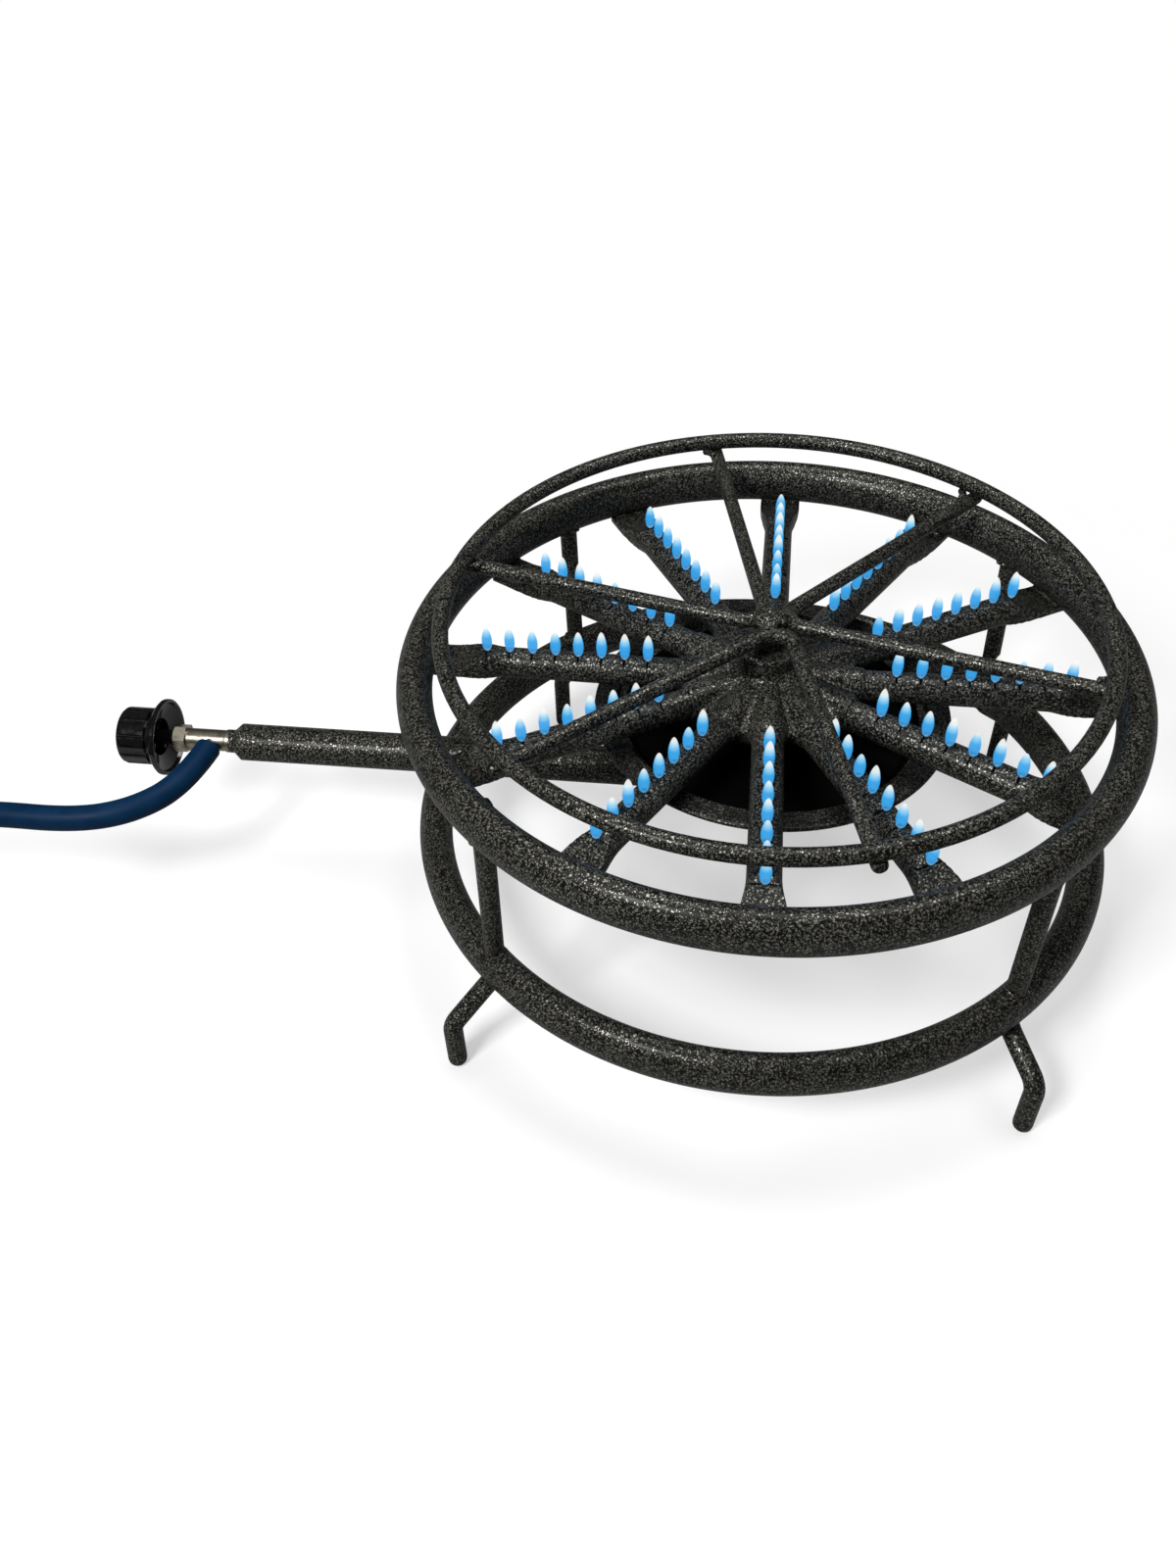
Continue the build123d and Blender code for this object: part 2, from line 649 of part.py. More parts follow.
def widest_radii(points):
    """Bend radii that use up to 0.45 of the shorter run at every corner."""
    radii = []
    for before, corner, after in zip(points, points[1:], points[2:]):
        turn = (corner - before).get_angle(after - corner)
        shorter = min((corner - before).length, (after - corner).length)
        radii.append(0.45 * shorter / tan(radians(turn) / 2))
    return radii


hose_radii = widest_radii(hose_points)
print("hose bend radii", [round(radius, 1) for radius in hose_radii])
hose_path = FilletPolyline(*hose_points, radius=hose_radii)
hose = rod_along(hose_path, hose_outer / 2)
hose -= rod_along(hose_path, hose_bore / 2)
expected = hose_path.length * pi * (hose_outer**2 - hose_bore**2) / 4
print("hose length", round(hose_path.length, 1), "volume ratio", round(hose.volume / expected, 4))
write_part(hose, "gas_hose")

# Half turns make the coil: it winds clockwise, outwards, in one flat layer, under the hose that
# comes down across it, and its end turns away from it.
coil_pitch = hose_outer + coil_gap
coil_start = hose_points[-1]
coil_way = (hose_points[-1] - hose_points[-2]).normalized()
inward = Vector(coil_way.Y, -coil_way.X, 0)
far_reach = 2 * coil_first_radius
half_turn_ends = [0.0, far_reach, -coil_near_step]
for half_turn in range(2, coil_half_turns):
    side = 1 if half_turn % 2 == 0 else -1
    half_turn_ends.append(half_turn_ends[-2] + side * coil_pitch)
coil_edges = []
for half_turn in range(coil_half_turns):
    side = 1 if half_turn % 2 == 0 else -1
    near, far = half_turn_ends[half_turn:half_turn + 2]
    coil_radius = abs(far - near) / 2
    crown = coil_start + inward * ((near + far) / 2) + coil_way * (coil_radius * side)
    coil_edges.append(ThreePointArc(coil_start + inward * near, crown, coil_start + inward * far))
coil_end = coil_start + inward * half_turn_ends[-1]
tail_centre = coil_end - inward * coil_tail_radius


def on_tail(turn):
    """Point of the tail's bend after turning so many degrees, away from the coil."""
    back = inward * coil_tail_radius
    ahead = coil_way * coil_tail_radius
    return tail_centre + back * cos(radians(turn)) + ahead * sin(radians(turn))


coil_edges.append(ThreePointArc(on_tail(0), on_tail(coil_tail_turn / 2), on_tail(coil_tail_turn)))
tail_way = coil_way * cos(radians(coil_tail_turn)) - inward * sin(radians(coil_tail_turn))
tail_end = on_tail(coil_tail_turn) + tail_way * coil_tail_straight
coil_edges.append(Line(on_tail(coil_tail_turn), tail_end))
coil_path = Wire(coil_edges)
coil = rod_along(coil_path, hose_outer / 2)
coil_samples = [coil_path @ (step / 400) for step in range(401)]
step_length = coil_path.length / 400
reach = int(2.5 * hose_outer / step_length) + 1
least_gap = min((coil_samples[i] - coil_samples[j]).length
                for i in range(401) for j in range(i + reach, 401)) - hose_outer
print("coil length", round(coil_path.length, 1), "least gap between turns", round(least_gap, 2))
hose_samples = [hose_path @ (step / 200) for step in range(190)]
over_gap = min((high - low).length for high in hose_samples for low in coil_samples[20:]) - hose_outer
print("least gap where the hose comes down over the coil", round(over_gap, 2))
write_part(coil, "gas_hose_coil")
hose_length = hose_path.length + coil_path.length
print("hose length in all", round(hose_length, 1))

# The strap holds the coil's strands side by side, where they are farthest from the start.
strap_inner_width = coil_pitch + hose_outer + 2 * soft_gap
strap_middle = coil_start + inward * (far_reach + coil_pitch / 2)
strap_plane = Plane(origin=strap_middle, x_dir=inward, z_dir=coil_way)
strap_height = hose_outer + 2 * soft_gap
strap_outline = RectangleRounded(strap_inner_width + 2 * tie_thick, strap_height + 2 * tie_thick,
                                 strap_height / 2 - 1)
strap_opening = RectangleRounded(strap_inner_width, strap_height, strap_height / 2 - 2)
hose_tie = extrude(strap_plane * (strap_outline - strap_opening), amount=tie_width / 2, both=True)
write_part(hose_tie, "hose_tie")

# ---------------------------------------------------------------- hose end fitting
end_plane = Plane(origin=tail_end, z_dir=tail_way)
nut_rear = ferrule_length + soft_gap
head_rear = nut_rear + end_nut_shoulder + soft_gap
head_front = nut_rear + end_nut_length - end_nut_bore_depth - soft_gap
end_nipple = lathe_z([
    (0, 0),
    (ferrule_radius, 0),
    (ferrule_radius, 3),
    (ferrule_radius - 0.8, 4),
    (ferrule_radius - 0.8, ferrule_length - 4),
    (ferrule_radius, ferrule_length - 3),
    (ferrule_radius, ferrule_length),
    (nipple_radius, ferrule_length),
    (nipple_radius, head_rear),
    (nipple_head_radius, head_rear),
    (nipple_head_radius, head_front),
    (hose_bore / 4 + 1.5, head_front),
    (0, head_front - 1.5),
])
end_nipple -= Cylinder(hose_bore / 4, 4 * ferrule_length)
write_part(end_plane * end_nipple, "hose_end_nipple")

nut_solid = extrude(RegularPolygon(end_nut_flats / 2, 6, major_radius=False), amount=end_nut_length)
nut_solid &= lathe_z([
    (0, 0),
    (end_nut_flats / 2 - 0.4, 0),
    (end_nut_flats / 2 + 1.8, 2.2),
    (end_nut_flats / 2 + 1.8, end_nut_length - 2.2),
    (end_nut_flats / 2 - 0.4, end_nut_length),
    (0, end_nut_length),
])
nut_solid -= lathe_z([
    (0, 0),
    (nipple_radius + soft_gap, 0),
    (nipple_radius + soft_gap, end_nut_shoulder),
    (nipple_head_radius + soft_gap, end_nut_shoulder),
    (nipple_head_radius + soft_gap, end_nut_length - end_nut_bore_depth),
    (end_nut_bore_radius, end_nut_length - end_nut_bore_depth),
    (end_nut_bore_radius, end_nut_length),
    (0, end_nut_length),
])
write_part(end_plane * Pos(0, 0, nut_rear) * nut_solid, "hose_end_nut")
thread_mouth = tail_end + tail_way * (nut_rear + end_nut_length)
print("inlet thread mouth", [round(value, 3) for value in thread_mouth],
      "facing", [round(value, 5) for value in tail_way])
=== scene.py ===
from math import atan2, cos, degrees, pi, radians, sin, sqrt, tan
import bmesh
import bpy
from mathutils import Matrix, Vector


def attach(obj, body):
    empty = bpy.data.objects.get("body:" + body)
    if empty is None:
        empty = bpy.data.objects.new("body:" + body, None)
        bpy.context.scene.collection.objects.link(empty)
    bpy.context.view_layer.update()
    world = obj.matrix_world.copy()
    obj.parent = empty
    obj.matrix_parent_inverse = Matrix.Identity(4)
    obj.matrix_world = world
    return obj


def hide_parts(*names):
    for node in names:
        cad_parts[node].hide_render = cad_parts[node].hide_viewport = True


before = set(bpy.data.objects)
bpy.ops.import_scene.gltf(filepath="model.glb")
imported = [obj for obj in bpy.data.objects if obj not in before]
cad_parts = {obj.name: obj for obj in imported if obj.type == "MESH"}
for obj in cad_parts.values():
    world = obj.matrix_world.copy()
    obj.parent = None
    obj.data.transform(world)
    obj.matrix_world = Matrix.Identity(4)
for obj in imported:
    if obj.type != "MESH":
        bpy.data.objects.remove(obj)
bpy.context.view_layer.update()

# ---------------------------------------------------------------- burner ring and base ring
# Two rings rolled from steel tube that was first pressed to an upright oval.  Each is closed by
# one butt weld, ground nearly flush, and everything steel on the stand is coated in one go with
# a textured powder: pewter flake that draws back from a web of black veins as it is baked.
mm = 0.001
coat_vein_pitch = 2.1 * mm
coat_ripple = 0.22 * mm


def feed(node, inputs):
    """Set or link a node's inputs, by name or number, from values or from other sockets."""
    for socket, value in inputs.items():
        if isinstance(value, bpy.types.NodeSocket):
            node.id_data.links.new(value, node.inputs[socket])
        else:
            node.inputs[socket].default_value = value


def grow(tree, kind, inputs=None, **settings):
    """Add one node to a tree, with its settings and its inputs."""
    node = tree.nodes.new(kind)
    for setting, value in settings.items():
        setattr(node, setting, value)
    feed(node, inputs or {})
    return node


def shader(name):
    """A fresh material, with a helper that adds nodes to it and its Principled shader."""
    material = bpy.data.materials.new(name)
    material.use_nodes = True
    tree = material.node_tree

    def add(kind, inputs=None, **settings):
        return grow(tree, kind, inputs, **settings)

    return material, add, tree.nodes["Principled BSDF"]


def ramp(add, source, stops):
    """Colour ramp fed by a socket; stops are (position, colour or grey value)."""
    node = add("ShaderNodeValToRGB", {"Fac": source})
    elements = node.color_ramp.elements
    while len(elements) < len(stops):
        elements.new(0.5)
    for element, (position, value) in zip(elements, stops):
        element.position = position
        colour = value if hasattr(value, "__len__") else (value, value, value)
        element.color = (*colour, 1.0)
    return node.outputs["Color"]


def mottle(add, scale, detail, **more):
    """Noise on the piece's own coordinates; scale is in patches to the metre."""
    place = add("ShaderNodeTexCoord").outputs["Object"]
    return add("ShaderNodeTexNoise", {"Vector": place, "Scale": scale, "Detail": detail, **more})


def blend(add, share, low, high):
    """Colour between two, each given as a socket or as red, green and blue."""
    low, high = (end if isinstance(end, bpy.types.NodeSocket) else (*end, 1.0) for end in (low, high))
    return add("ShaderNodeMix", {0: share, 6: low, 7: high}, data_type="RGBA").outputs[2]


def vein_coat(name, flake=(0.2, 0.197, 0.166), vein=(0.0015, 0.0015, 0.0014)):
    """The baked coat: islands of metallic pewter flake with black veins between them."""
    material, add, surface = shader(name)
    place = add("ShaderNodeTexCoord").outputs["Object"]
    wander = mottle(add, 300.0, 3.0).outputs["Color"]
    pull = add("ShaderNodeVectorMath", {0: wander, 1: (0.5, 0.5, 0.5)}, operation="SUBTRACT")
    shift = add("ShaderNodeVectorMath", {0: pull.outputs[0], "Scale": 3.4 * mm}, operation="SCALE")
    bent = add("ShaderNodeVectorMath", {0: place, 1: shift.outputs[0]}, operation="ADD").outputs[0]
    web = add("ShaderNodeTexVoronoi", {"Vector": bent, "Scale": 1.0 / coat_vein_pitch},
              feature="DISTANCE_TO_EDGE").outputs["Distance"]
    broad = mottle(add, 34.0, 3.0).outputs["Fac"]
    patchy = mottle(add, 780.0, 2.5, Roughness=0.6, Distortion=0.5).outputs["Fac"]
    share = add("ShaderNodeMath", {0: ramp(add, web, [(0.05, 0.0), (0.16, 1.0)]),
                                   1: ramp(add, patchy, [(0.475, 0.0), (0.545, 1.0)])},
                operation="MULTIPLY").outputs[0]
    tint = blend(add, broad, [0.7 * part for part in flake], [1.3 * part for part in flake])
    swell = add("ShaderNodeBump", {"Height": share, "Distance": coat_ripple, "Strength": 1.0})
    feed(surface, {"Base Color": blend(add, share, vein, tint),
                   "Metallic": ramp(add, share, [(0.0, 0.0), (1.0, 0.9)]),
                   "Roughness": ramp(add, share, [(0.0, 0.36), (1.0, 0.4)]),
                   "Specular IOR Level": 0.12, "Coat Weight": 0.03, "Coat Roughness": 0.16,
                   "Normal": swell.outputs["Normal"]})
    return material


def finish_node(node, material):
    """Give a CAD node its finish, in place of the materials it came with."""
    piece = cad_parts[node]
    piece.data.materials.clear()
    piece.data.materials.append(material)


coat = vein_coat("vein_powder_coat")
ring_radius, burner_ring_z, base_ring_z = 214.2, 195.0, 73.4
ring_half_width = 10.8
crown_radius, crown_centre, crown_reach = 8.5, 6.0, 6.3
side_radius, side_centre = 17.48, 6.68


def ring_half_height(offset):
    """Half the height of the rolled oval at this distance inside or outside its centreline."""
    offset = abs(offset)
    if offset < crown_reach:
        return crown_centre + sqrt(crown_radius**2 - offset**2)
    return sqrt(max(0.0, side_radius**2 - (offset + side_centre)**2))


def around(radius, azimuth, z=0.0):
    """Point at an azimuth about the stand's axis, in millimetres."""
    return Vector((radius * cos(radians(azimuth)), radius * sin(radians(azimuth)), z))


def new_tree(name, **inputs):
    """An empty geometry tree; returns it, its inputs' outlets and its sockets by label."""
    tree = bpy.data.node_groups.new(name, "GeometryNodeTree")

    def socket(title, way, kind):
        return tree.interface.new_socket(title, in_out=way, socket_type="NodeSocket" + kind)

    socket("Geometry", "INPUT", "Geometry")
    sockets = {label: socket(label.replace("_", " ").title(), "INPUT", kind)
               for label, kind in inputs.items()}
    socket("Geometry", "OUTPUT", "Geometry")
    return tree, grow(tree, "NodeGroupInput").outputs, sockets


def finished(tree, geometry, material, crease=None):
    """Close a tree: faces smooth, edges sharper than the crease kept, realised and coated."""
    skin = grow(tree, "GeometryNodeSetShadeSmooth", {"Geometry": geometry}).outputs[0]
    if crease:
        angle = grow(tree, "GeometryNodeInputMeshEdgeAngle").outputs["Unsigned Angle"]
        sharp = grow(tree, "FunctionNodeCompare", {0: angle, 1: crease}, operation="GREATER_THAN")
        skin = grow(tree, "GeometryNodeSetShadeSmooth",
                    {"Geometry": skin, "Selection": sharp.outputs[0], "Shade Smooth": False},
                    domain="EDGE").outputs[0]
    real = grow(tree, "GeometryNodeRealizeInstances", {"Geometry": skin}).outputs[0]
    painted = grow(tree, "GeometryNodeSetMaterial", {"Geometry": real, "Material": material})
    grow(tree, "NodeGroupOutput", {"Geometry": painted.outputs[0]})


def piece_of(name, points=(), edges=(), attribute=None, values=()):
    """A new object made of bare points and edges in millimetres, with one value on each point."""
    mesh = bpy.data.meshes.new(name)
    mesh.from_pydata([tuple(Vector(point) * mm) for point in points], edges, [])
    if attribute:
        mesh.attributes.new(attribute, "FLOAT", "POINT").data.foreach_set("value", values)
    piece = bpy.data.objects.new(name, mesh)
    bpy.context.scene.collection.objects.link(piece)
    return piece


def chain(count, closed=False):
    """Edges that join numbered points one after another."""
    links = [(number, number + 1) for number in range(count - 1)]
    return links + [(count - 1, 0)] if closed else links


def bake(piece, tree, sockets, **values):
    """Run a piece's node tree once and keep the result as its plain mesh."""
    growth = piece.modifiers.new("growth", "NODES")
    growth.node_group = tree
    for label, value in values.items():
        growth[sockets[label].identifier] = value
    seen = piece.evaluated_get(bpy.context.evaluated_depsgraph_get())
    mesh = bpy.data.meshes.new_from_object(seen)
    piece.modifiers.clear()
    piece.data = mesh


def settle(piece, body, *nodes):
    """Hang a coated piece on its body, in place of the CAD nodes named."""
    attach(piece, body)
    if nodes:
        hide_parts(*nodes)


# The rolling: a section, drawn as points, is carried once round the ring's centreline.
curve_crease = 0.6
rolling, given, rolling_inputs = new_tree("rolled_ring", ring_radius="Float",
                                          centre_height="Float", coat="Material")
circle = grow(rolling, "GeometryNodeCurvePrimitiveCircle",
              {"Resolution": 240, "Radius": given["Ring Radius"]}).outputs[0]
upright = grow(rolling, "GeometryNodeSetCurveNormal", {"Curve": circle}, mode="Z_UP").outputs[0]
oval = grow(rolling, "GeometryNodeMeshToCurve", {"Mesh": given["Geometry"]}).outputs[0]
swept = grow(rolling, "GeometryNodeCurveToMesh", {"Curve": upright, "Profile Curve": oval})
lift = grow(rolling, "ShaderNodeCombineXYZ", {2: given["Centre Height"]}).outputs[0]
placed = grow(rolling, "GeometryNodeSetPosition", {"Geometry": swept.outputs[0], "Offset": lift})
finished(rolling, placed.outputs[0], given["Coat"], curve_crease)

offsets = [ring_half_width * sin(pi / 24 * number) for number in range(-12, 13)]
ring_section = [(offset, ring_half_height(offset), 0.0) for offset in offsets]
ring_section += [(offset, -ring_half_height(offset), 0.0) for offset in offsets[-2:0:-1]]
for node, centre_z in (("burner_ring", burner_ring_z), ("base_ring", base_ring_z)):
    ring = piece_of("rolled_" + node, ring_section, chain(len(ring_section), closed=True))
    bake(ring, rolling, rolling_inputs, ring_radius=ring_radius * mm,
         centre_height=centre_z * mm, coat=coat)
    settle(ring, "stand", node)


def maths(tree, operation, first, second=0.0):
    """One sum on two values or sockets."""
    return grow(tree, "ShaderNodeMath", {0: first, 1: second}, operation=operation).outputs[0]


# A run of weld metal, left as it froze: overlapping ripples that swell and thin along the joint.
weld, given, weld_inputs = new_tree("weld_run", ripple_pitch="Float", lumpiness="Float",
                                    coat="Material")
joint_line = grow(weld, "GeometryNodeMeshToCurve", {"Mesh": given["Geometry"]}).outputs[0]
line = grow(weld, "GeometryNodeResampleCurve", {"Curve": joint_line, "Length": 0.7 * mm},
            mode="LENGTH").outputs[0]
along = grow(weld, "GeometryNodeSplineParameter").outputs
phase = maths(weld, "DIVIDE", maths(weld, "MULTIPLY", along["Length"], 2 * pi),
              given["Ripple Pitch"])
ripple = maths(weld, "ADD", maths(weld, "MULTIPLY", maths(weld, "SINE", phase), 0.07), 1.0)
nearest_end = maths(weld, "MINIMUM", along["Factor"], maths(weld, "SUBTRACT", 1.0, along["Factor"]))
taper = maths(weld, "ADD", maths(weld, "MULTIPLY", nearest_end, 7.0), 0.45)
width = grow(weld, "GeometryNodeInputNamedAttribute", {"Name": "bead"}, data_type="FLOAT").outputs[0]
swollen = maths(weld, "MULTIPLY", maths(weld, "MULTIPLY", width, ripple),
                maths(weld, "MINIMUM", taper, 1.0))
section = grow(weld, "GeometryNodeCurvePrimitiveCircle", {"Resolution": 10, "Radius": 1.0}).outputs[0]
tube = grow(weld, "GeometryNodeCurveToMesh", {"Curve": line, "Profile Curve": section,
                                              "Fill Caps": True, "Scale": swollen}).outputs[0]
lumps = grow(weld, "ShaderNodeTexNoise", {"Scale": 260.0, "Detail": 2.0}).outputs["Fac"]
swell = maths(weld, "MULTIPLY", maths(weld, "SUBTRACT", lumps, 0.5), given["Lumpiness"])
outwards = grow(weld, "GeometryNodeInputNormal").outputs[0]
push = grow(weld, "ShaderNodeVectorMath", {0: outwards, "Scale": swell}, operation="SCALE").outputs[0]
moved = grow(weld, "GeometryNodeSetPosition", {"Geometry": tube, "Offset": push}).outputs[0]
finished(weld, moved, given["Coat"])


def weld_runs(name, runs, body):
    """Lay weld metal along lines of points in millimetres; each run is (points, bead radius)."""
    points, edges, beads = [], [], []
    for run, bead in runs:
        edges += [(first + len(points), second + len(points)) for first, second in chain(len(run))]
        points += run
        beads += [bead * mm] * len(run)
    piece = piece_of(name, points, edges, "bead", beads)
    bake(piece, weld, weld_inputs, ripple_pitch=2.2 * mm, lumpiness=0.9 * mm, coat=coat)
    settle(piece, body)


seams = []
for centre_z, azimuth in ((burner_ring_z, -135.2), (base_ring_z, 100.0)):
    inner_side = []
    for step in range(-9, 10):
        rise = 1.2 * step
        inset = sqrt(side_radius**2 - rise**2) - side_centre
        inner_side.append(around(ring_radius - inset, azimuth, centre_z + rise))
    seams.append((inner_side, 1.3))
weld_runs("ring_seam_welds", seams, "stand")

# ---------------------------------------------------------------- legs
# Four legs of plain round bar, each bent twice in a bar bender so that its foot kicks outwards.
# A leg slips through a drilled hole in the base ring and butts up inside the burner ring.
leg_rod, leg_bend, leg_top_z, leg_weld_radius = 12.0, 11.0, 186.5, 6.7

bending, given, bending_inputs = new_tree("bent_bar", bar_radius="Float", bend_radius="Float",
                                          coat="Material")
corners = grow(bending, "GeometryNodeMeshToCurve", {"Mesh": given["Geometry"]}).outputs[0]
bent = grow(bending, "GeometryNodeFilletCurve",
            {"Curve": corners, "Count": 14, "Limit Radius": True, "Radius": given["Bend Radius"]},
            mode="POLY").outputs[0]
girth = grow(bending, "GeometryNodeInputNamedAttribute", {"Name": "girth"},
             data_type="FLOAT").outputs[0]
section = grow(bending, "GeometryNodeCurvePrimitiveCircle",
               {"Resolution": 28, "Radius": given["Bar Radius"]}).outputs[0]
rod = grow(bending, "GeometryNodeCurveToMesh", {"Curve": bent, "Profile Curve": section,
                                                "Scale": girth, "Fill Caps": True}).outputs[0]
finished(bending, rod, given["Coat"], curve_crease)


def bent_bar(name, corners, bar_radius, bend_radius, body, node):
    """One bar through its corner points, its two ends slightly rounded off."""
    rounding = ((0.0, 0.62), (0.12, 0.8), (0.35, 0.94), (0.7, 1.0))
    first_way = (corners[1] - corners[0]).normalized() * bar_radius
    last_way = (corners[-2] - corners[-1]).normalized() * bar_radius
    points = [corners[0] + first_way * back for back, _ in rounding] + corners[1:-1]
    points += [corners[-1] + last_way * back for back, _ in rounding[::-1]]
    end = [share for _, share in rounding]
    girths = end + [1.0] * (len(corners) - 2) + end[::-1]
    bar = piece_of(name, points, chain(len(points)), "girth", girths)
    bake(bar, bending, bending_inputs, bar_radius=bar_radius * mm, bend_radius=bend_radius * mm,
         coat=coat)
    settle(bar, body, node)


# Each leg: azimuths on the burner ring, on the base ring and of its foot, the foot's radius, and
# the heights of the two bends.
legs = {
    "front_left": (-133.5, -134.4, -135.3, 247.5, 64.7, 37.5),
    "front_right": (-44.7, -44.5, -47.6, 250.0, 56.0, 42.0),
    "back_left": (132.3, 131.6, 134.7, 219.2, 60.0, 44.0),
    "back_right": (40.8, 39.6, 37.4, 233.6, 60.0, 44.0),
}
leg_welds = []
for leg, (top_azimuth, base_azimuth, foot_azimuth, foot_radius, knee_z, ankle_z) in legs.items():
    high = around(ring_radius, top_azimuth, burner_ring_z)
    low = around(ring_radius, base_azimuth, base_ring_z)
    rise = (high - low) / (burner_ring_z - base_ring_z)
    bent_bar("bent_leg_" + leg,
             [low + rise * (leg_top_z - base_ring_z), low + rise * (knee_z - base_ring_z),
              around(foot_radius, foot_azimuth, ankle_z), around(foot_radius, foot_azimuth)],
             leg_rod / 2, leg_bend, "stand", "leg_" + leg)
    # all round under the burner ring, two arcs on top of the base ring and one underneath it
    for azimuth, centre_z, side, start, end, bead in (
            (top_azimuth, burner_ring_z, -1, 0, 360, 1.7),
            (base_azimuth, base_ring_z, 1, 20, 165, 1.4),
            (base_azimuth, base_ring_z, 1, 215, 320, 1.4),
            (base_azimuth, base_ring_z, -1, 60, 300, 1.7)):
        ahead, across = around(1.0, azimuth), around(1.0, azimuth + 90)
        run = []
        for step in range(25):
            turn = radians(start + (end - start) * step / 24)
            point = ahead * (ring_radius + leg_weld_radius * cos(turn))
            point += across * (leg_weld_radius * sin(turn))
            height = ring_half_height(point.length - ring_radius)
            run.append(point + Vector((0, 0, centre_z + side * height)))
        leg_welds.append((run, bead))
weld_runs("leg_welds", leg_welds, "stand")

# ---------------------------------------------------------------- burner hub and arms
# The hub is one iron casting with twelve necks and a boss for the trivet.  A length of gas pipe
# is seated in each neck, sawn across its top for the flame ports and pinched shut at its end,
# where the flattened lip is welded under the burner ring.
burner_axis = Vector((3.1, 0.0, 0.0))
arm_azimuths = [-0.2, 30.1, 59.1, 89.1, 119.7, 149.4, 178.7, 209.2, 239.7, 270.2, 298.8, 329.1]
arm_axis_z = 180.5
arm_seat, arm_end = 47.0, ring_radius - 0.2
arm_round, arm_wall = 9.5, 2.0
pinch_start, lip_start, bore_end = 166.0, 203.0, ring_radius - 14.0
lip_half, lip_thick, lip_top = 14.0, 3.6, 180.5
port_count, first_port, port_pitch = 8, 75.5, 14.5
saw_width, saw_depth, saw_reach = 1.3, 3.1, 24.0
lip_weld_radius, lip_weld_step = ring_radius - 5.4, 1.25

# One arm, made once and set out twelve times: a tube flattened by a rule towards its outer end,
# with a bore and a row of saw cuts taken out of it.
fanning, given, fanning_inputs = new_tree("burner_arm_fan", tube_radius="Float",
                                          lip_half_width="Float", pinch_start="Float",
                                          lip_start="Float", coat="Material")


def arm_skin(first_x, last_x, wall, lip_half_thick):
    """Outside of the arm, or its bore one wall inside that, flattened from pinch to lip."""
    line = grow(fanning, "GeometryNodeCurvePrimitiveLine",
                {"Start": (first_x * mm, 0, 0), "End": (last_x * mm, 0, 0)}).outputs[0]
    fine = grow(fanning, "GeometryNodeResampleCurve", {"Curve": line, "Count": 90}).outputs[0]
    radius = maths(fanning, "SUBTRACT", given["Tube Radius"], wall * mm)
    hoop = grow(fanning, "GeometryNodeCurvePrimitiveCircle", {"Resolution": 40, "Radius": radius})
    skin = grow(fanning, "GeometryNodeCurveToMesh", {"Curve": fine, "Profile Curve": hoop.outputs[0],
                                                     "Fill Caps": True}).outputs[0]
    here = grow(fanning, "GeometryNodeInputPosition").outputs[0]
    x, y, z = grow(fanning, "ShaderNodeSeparateXYZ", {0: here}).outputs
    share = grow(fanning, "ShaderNodeMapRange", {0: x, 1: given["Pinch Start"], 2: given["Lip Start"]},
                 interpolation_type="SMOOTHSTEP").outputs[0]
    rest = maths(fanning, "SUBTRACT", 1.0, share)
    widening = maths(fanning, "DIVIDE", given["Lip Half Width"], given["Tube Radius"])
    widening = maths(fanning, "MULTIPLY", share, maths(fanning, "SUBTRACT", widening, 1.0))
    aside = maths(fanning, "MULTIPLY", y, maths(fanning, "ADD", widening, 1.0))
    up = maths(fanning, "MULTIPLY", z,
               maths(fanning, "ADD", maths(fanning, "MULTIPLY", share, 1.3), 1.0))
    half = maths(fanning, "ADD", maths(fanning, "MULTIPLY", rest, radius),
                 maths(fanning, "MULTIPLY", share, lip_half_thick * mm))
    up = maths(fanning, "MAXIMUM", maths(fanning, "MINIMUM", up, half),
               maths(fanning, "MULTIPLY", half, -1.0))
    sunk = maths(fanning, "SUBTRACT", up, maths(fanning, "MULTIPLY", share, lip_thick / 2 * mm))
    moved = grow(fanning, "ShaderNodeCombineXYZ", {0: x, 1: aside, 2: sunk}).outputs[0]
    return grow(fanning, "GeometryNodeSetPosition", {"Geometry": skin, "Position": moved}).outputs[0]


outside = arm_skin(arm_seat, arm_end, 0.0, lip_thick / 2)
bore = arm_skin(arm_seat - 2.0, bore_end, arm_wall, 0.3)
row = grow(fanning, "GeometryNodeMeshLine",
           {"Count": port_count, "Start Location": (first_port * mm, 0, arm_round * mm),
            "Offset": (port_pitch * mm, 0, 0)}).outputs[0]
blade = grow(fanning, "GeometryNodeMeshCube",
             {"Size": (saw_width * mm, saw_reach * mm, 2 * saw_depth * mm)}).outputs[0]
cuts = grow(fanning, "GeometryNodeInstanceOnPoints", {"Points": row, "Instance": blade}).outputs[0]
cuts = grow(fanning, "GeometryNodeRealizeInstances", {"Geometry": cuts}).outputs[0]
arm = grow(fanning, "GeometryNodeMeshBoolean", {"Mesh 1": outside},
           operation="DIFFERENCE", solver="EXACT")
for taken in (bore, cuts):
    fanning.links.new(taken, arm.inputs["Mesh 2"])
heading = grow(fanning, "GeometryNodeInputNamedAttribute", {"Name": "heading"},
               data_type="FLOAT").outputs[0]
facing = grow(fanning, "ShaderNodeCombineXYZ", {2: heading}).outputs[0]
fan = grow(fanning, "GeometryNodeInstanceOnPoints",
           {"Points": given["Geometry"], "Instance": arm.outputs[0], "Rotation": facing}).outputs[0]
fan = grow(fanning, "GeometryNodeRealizeInstances", {"Geometry": fan}).outputs[0]
finished(fanning, fan, given["Coat"], curve_crease)

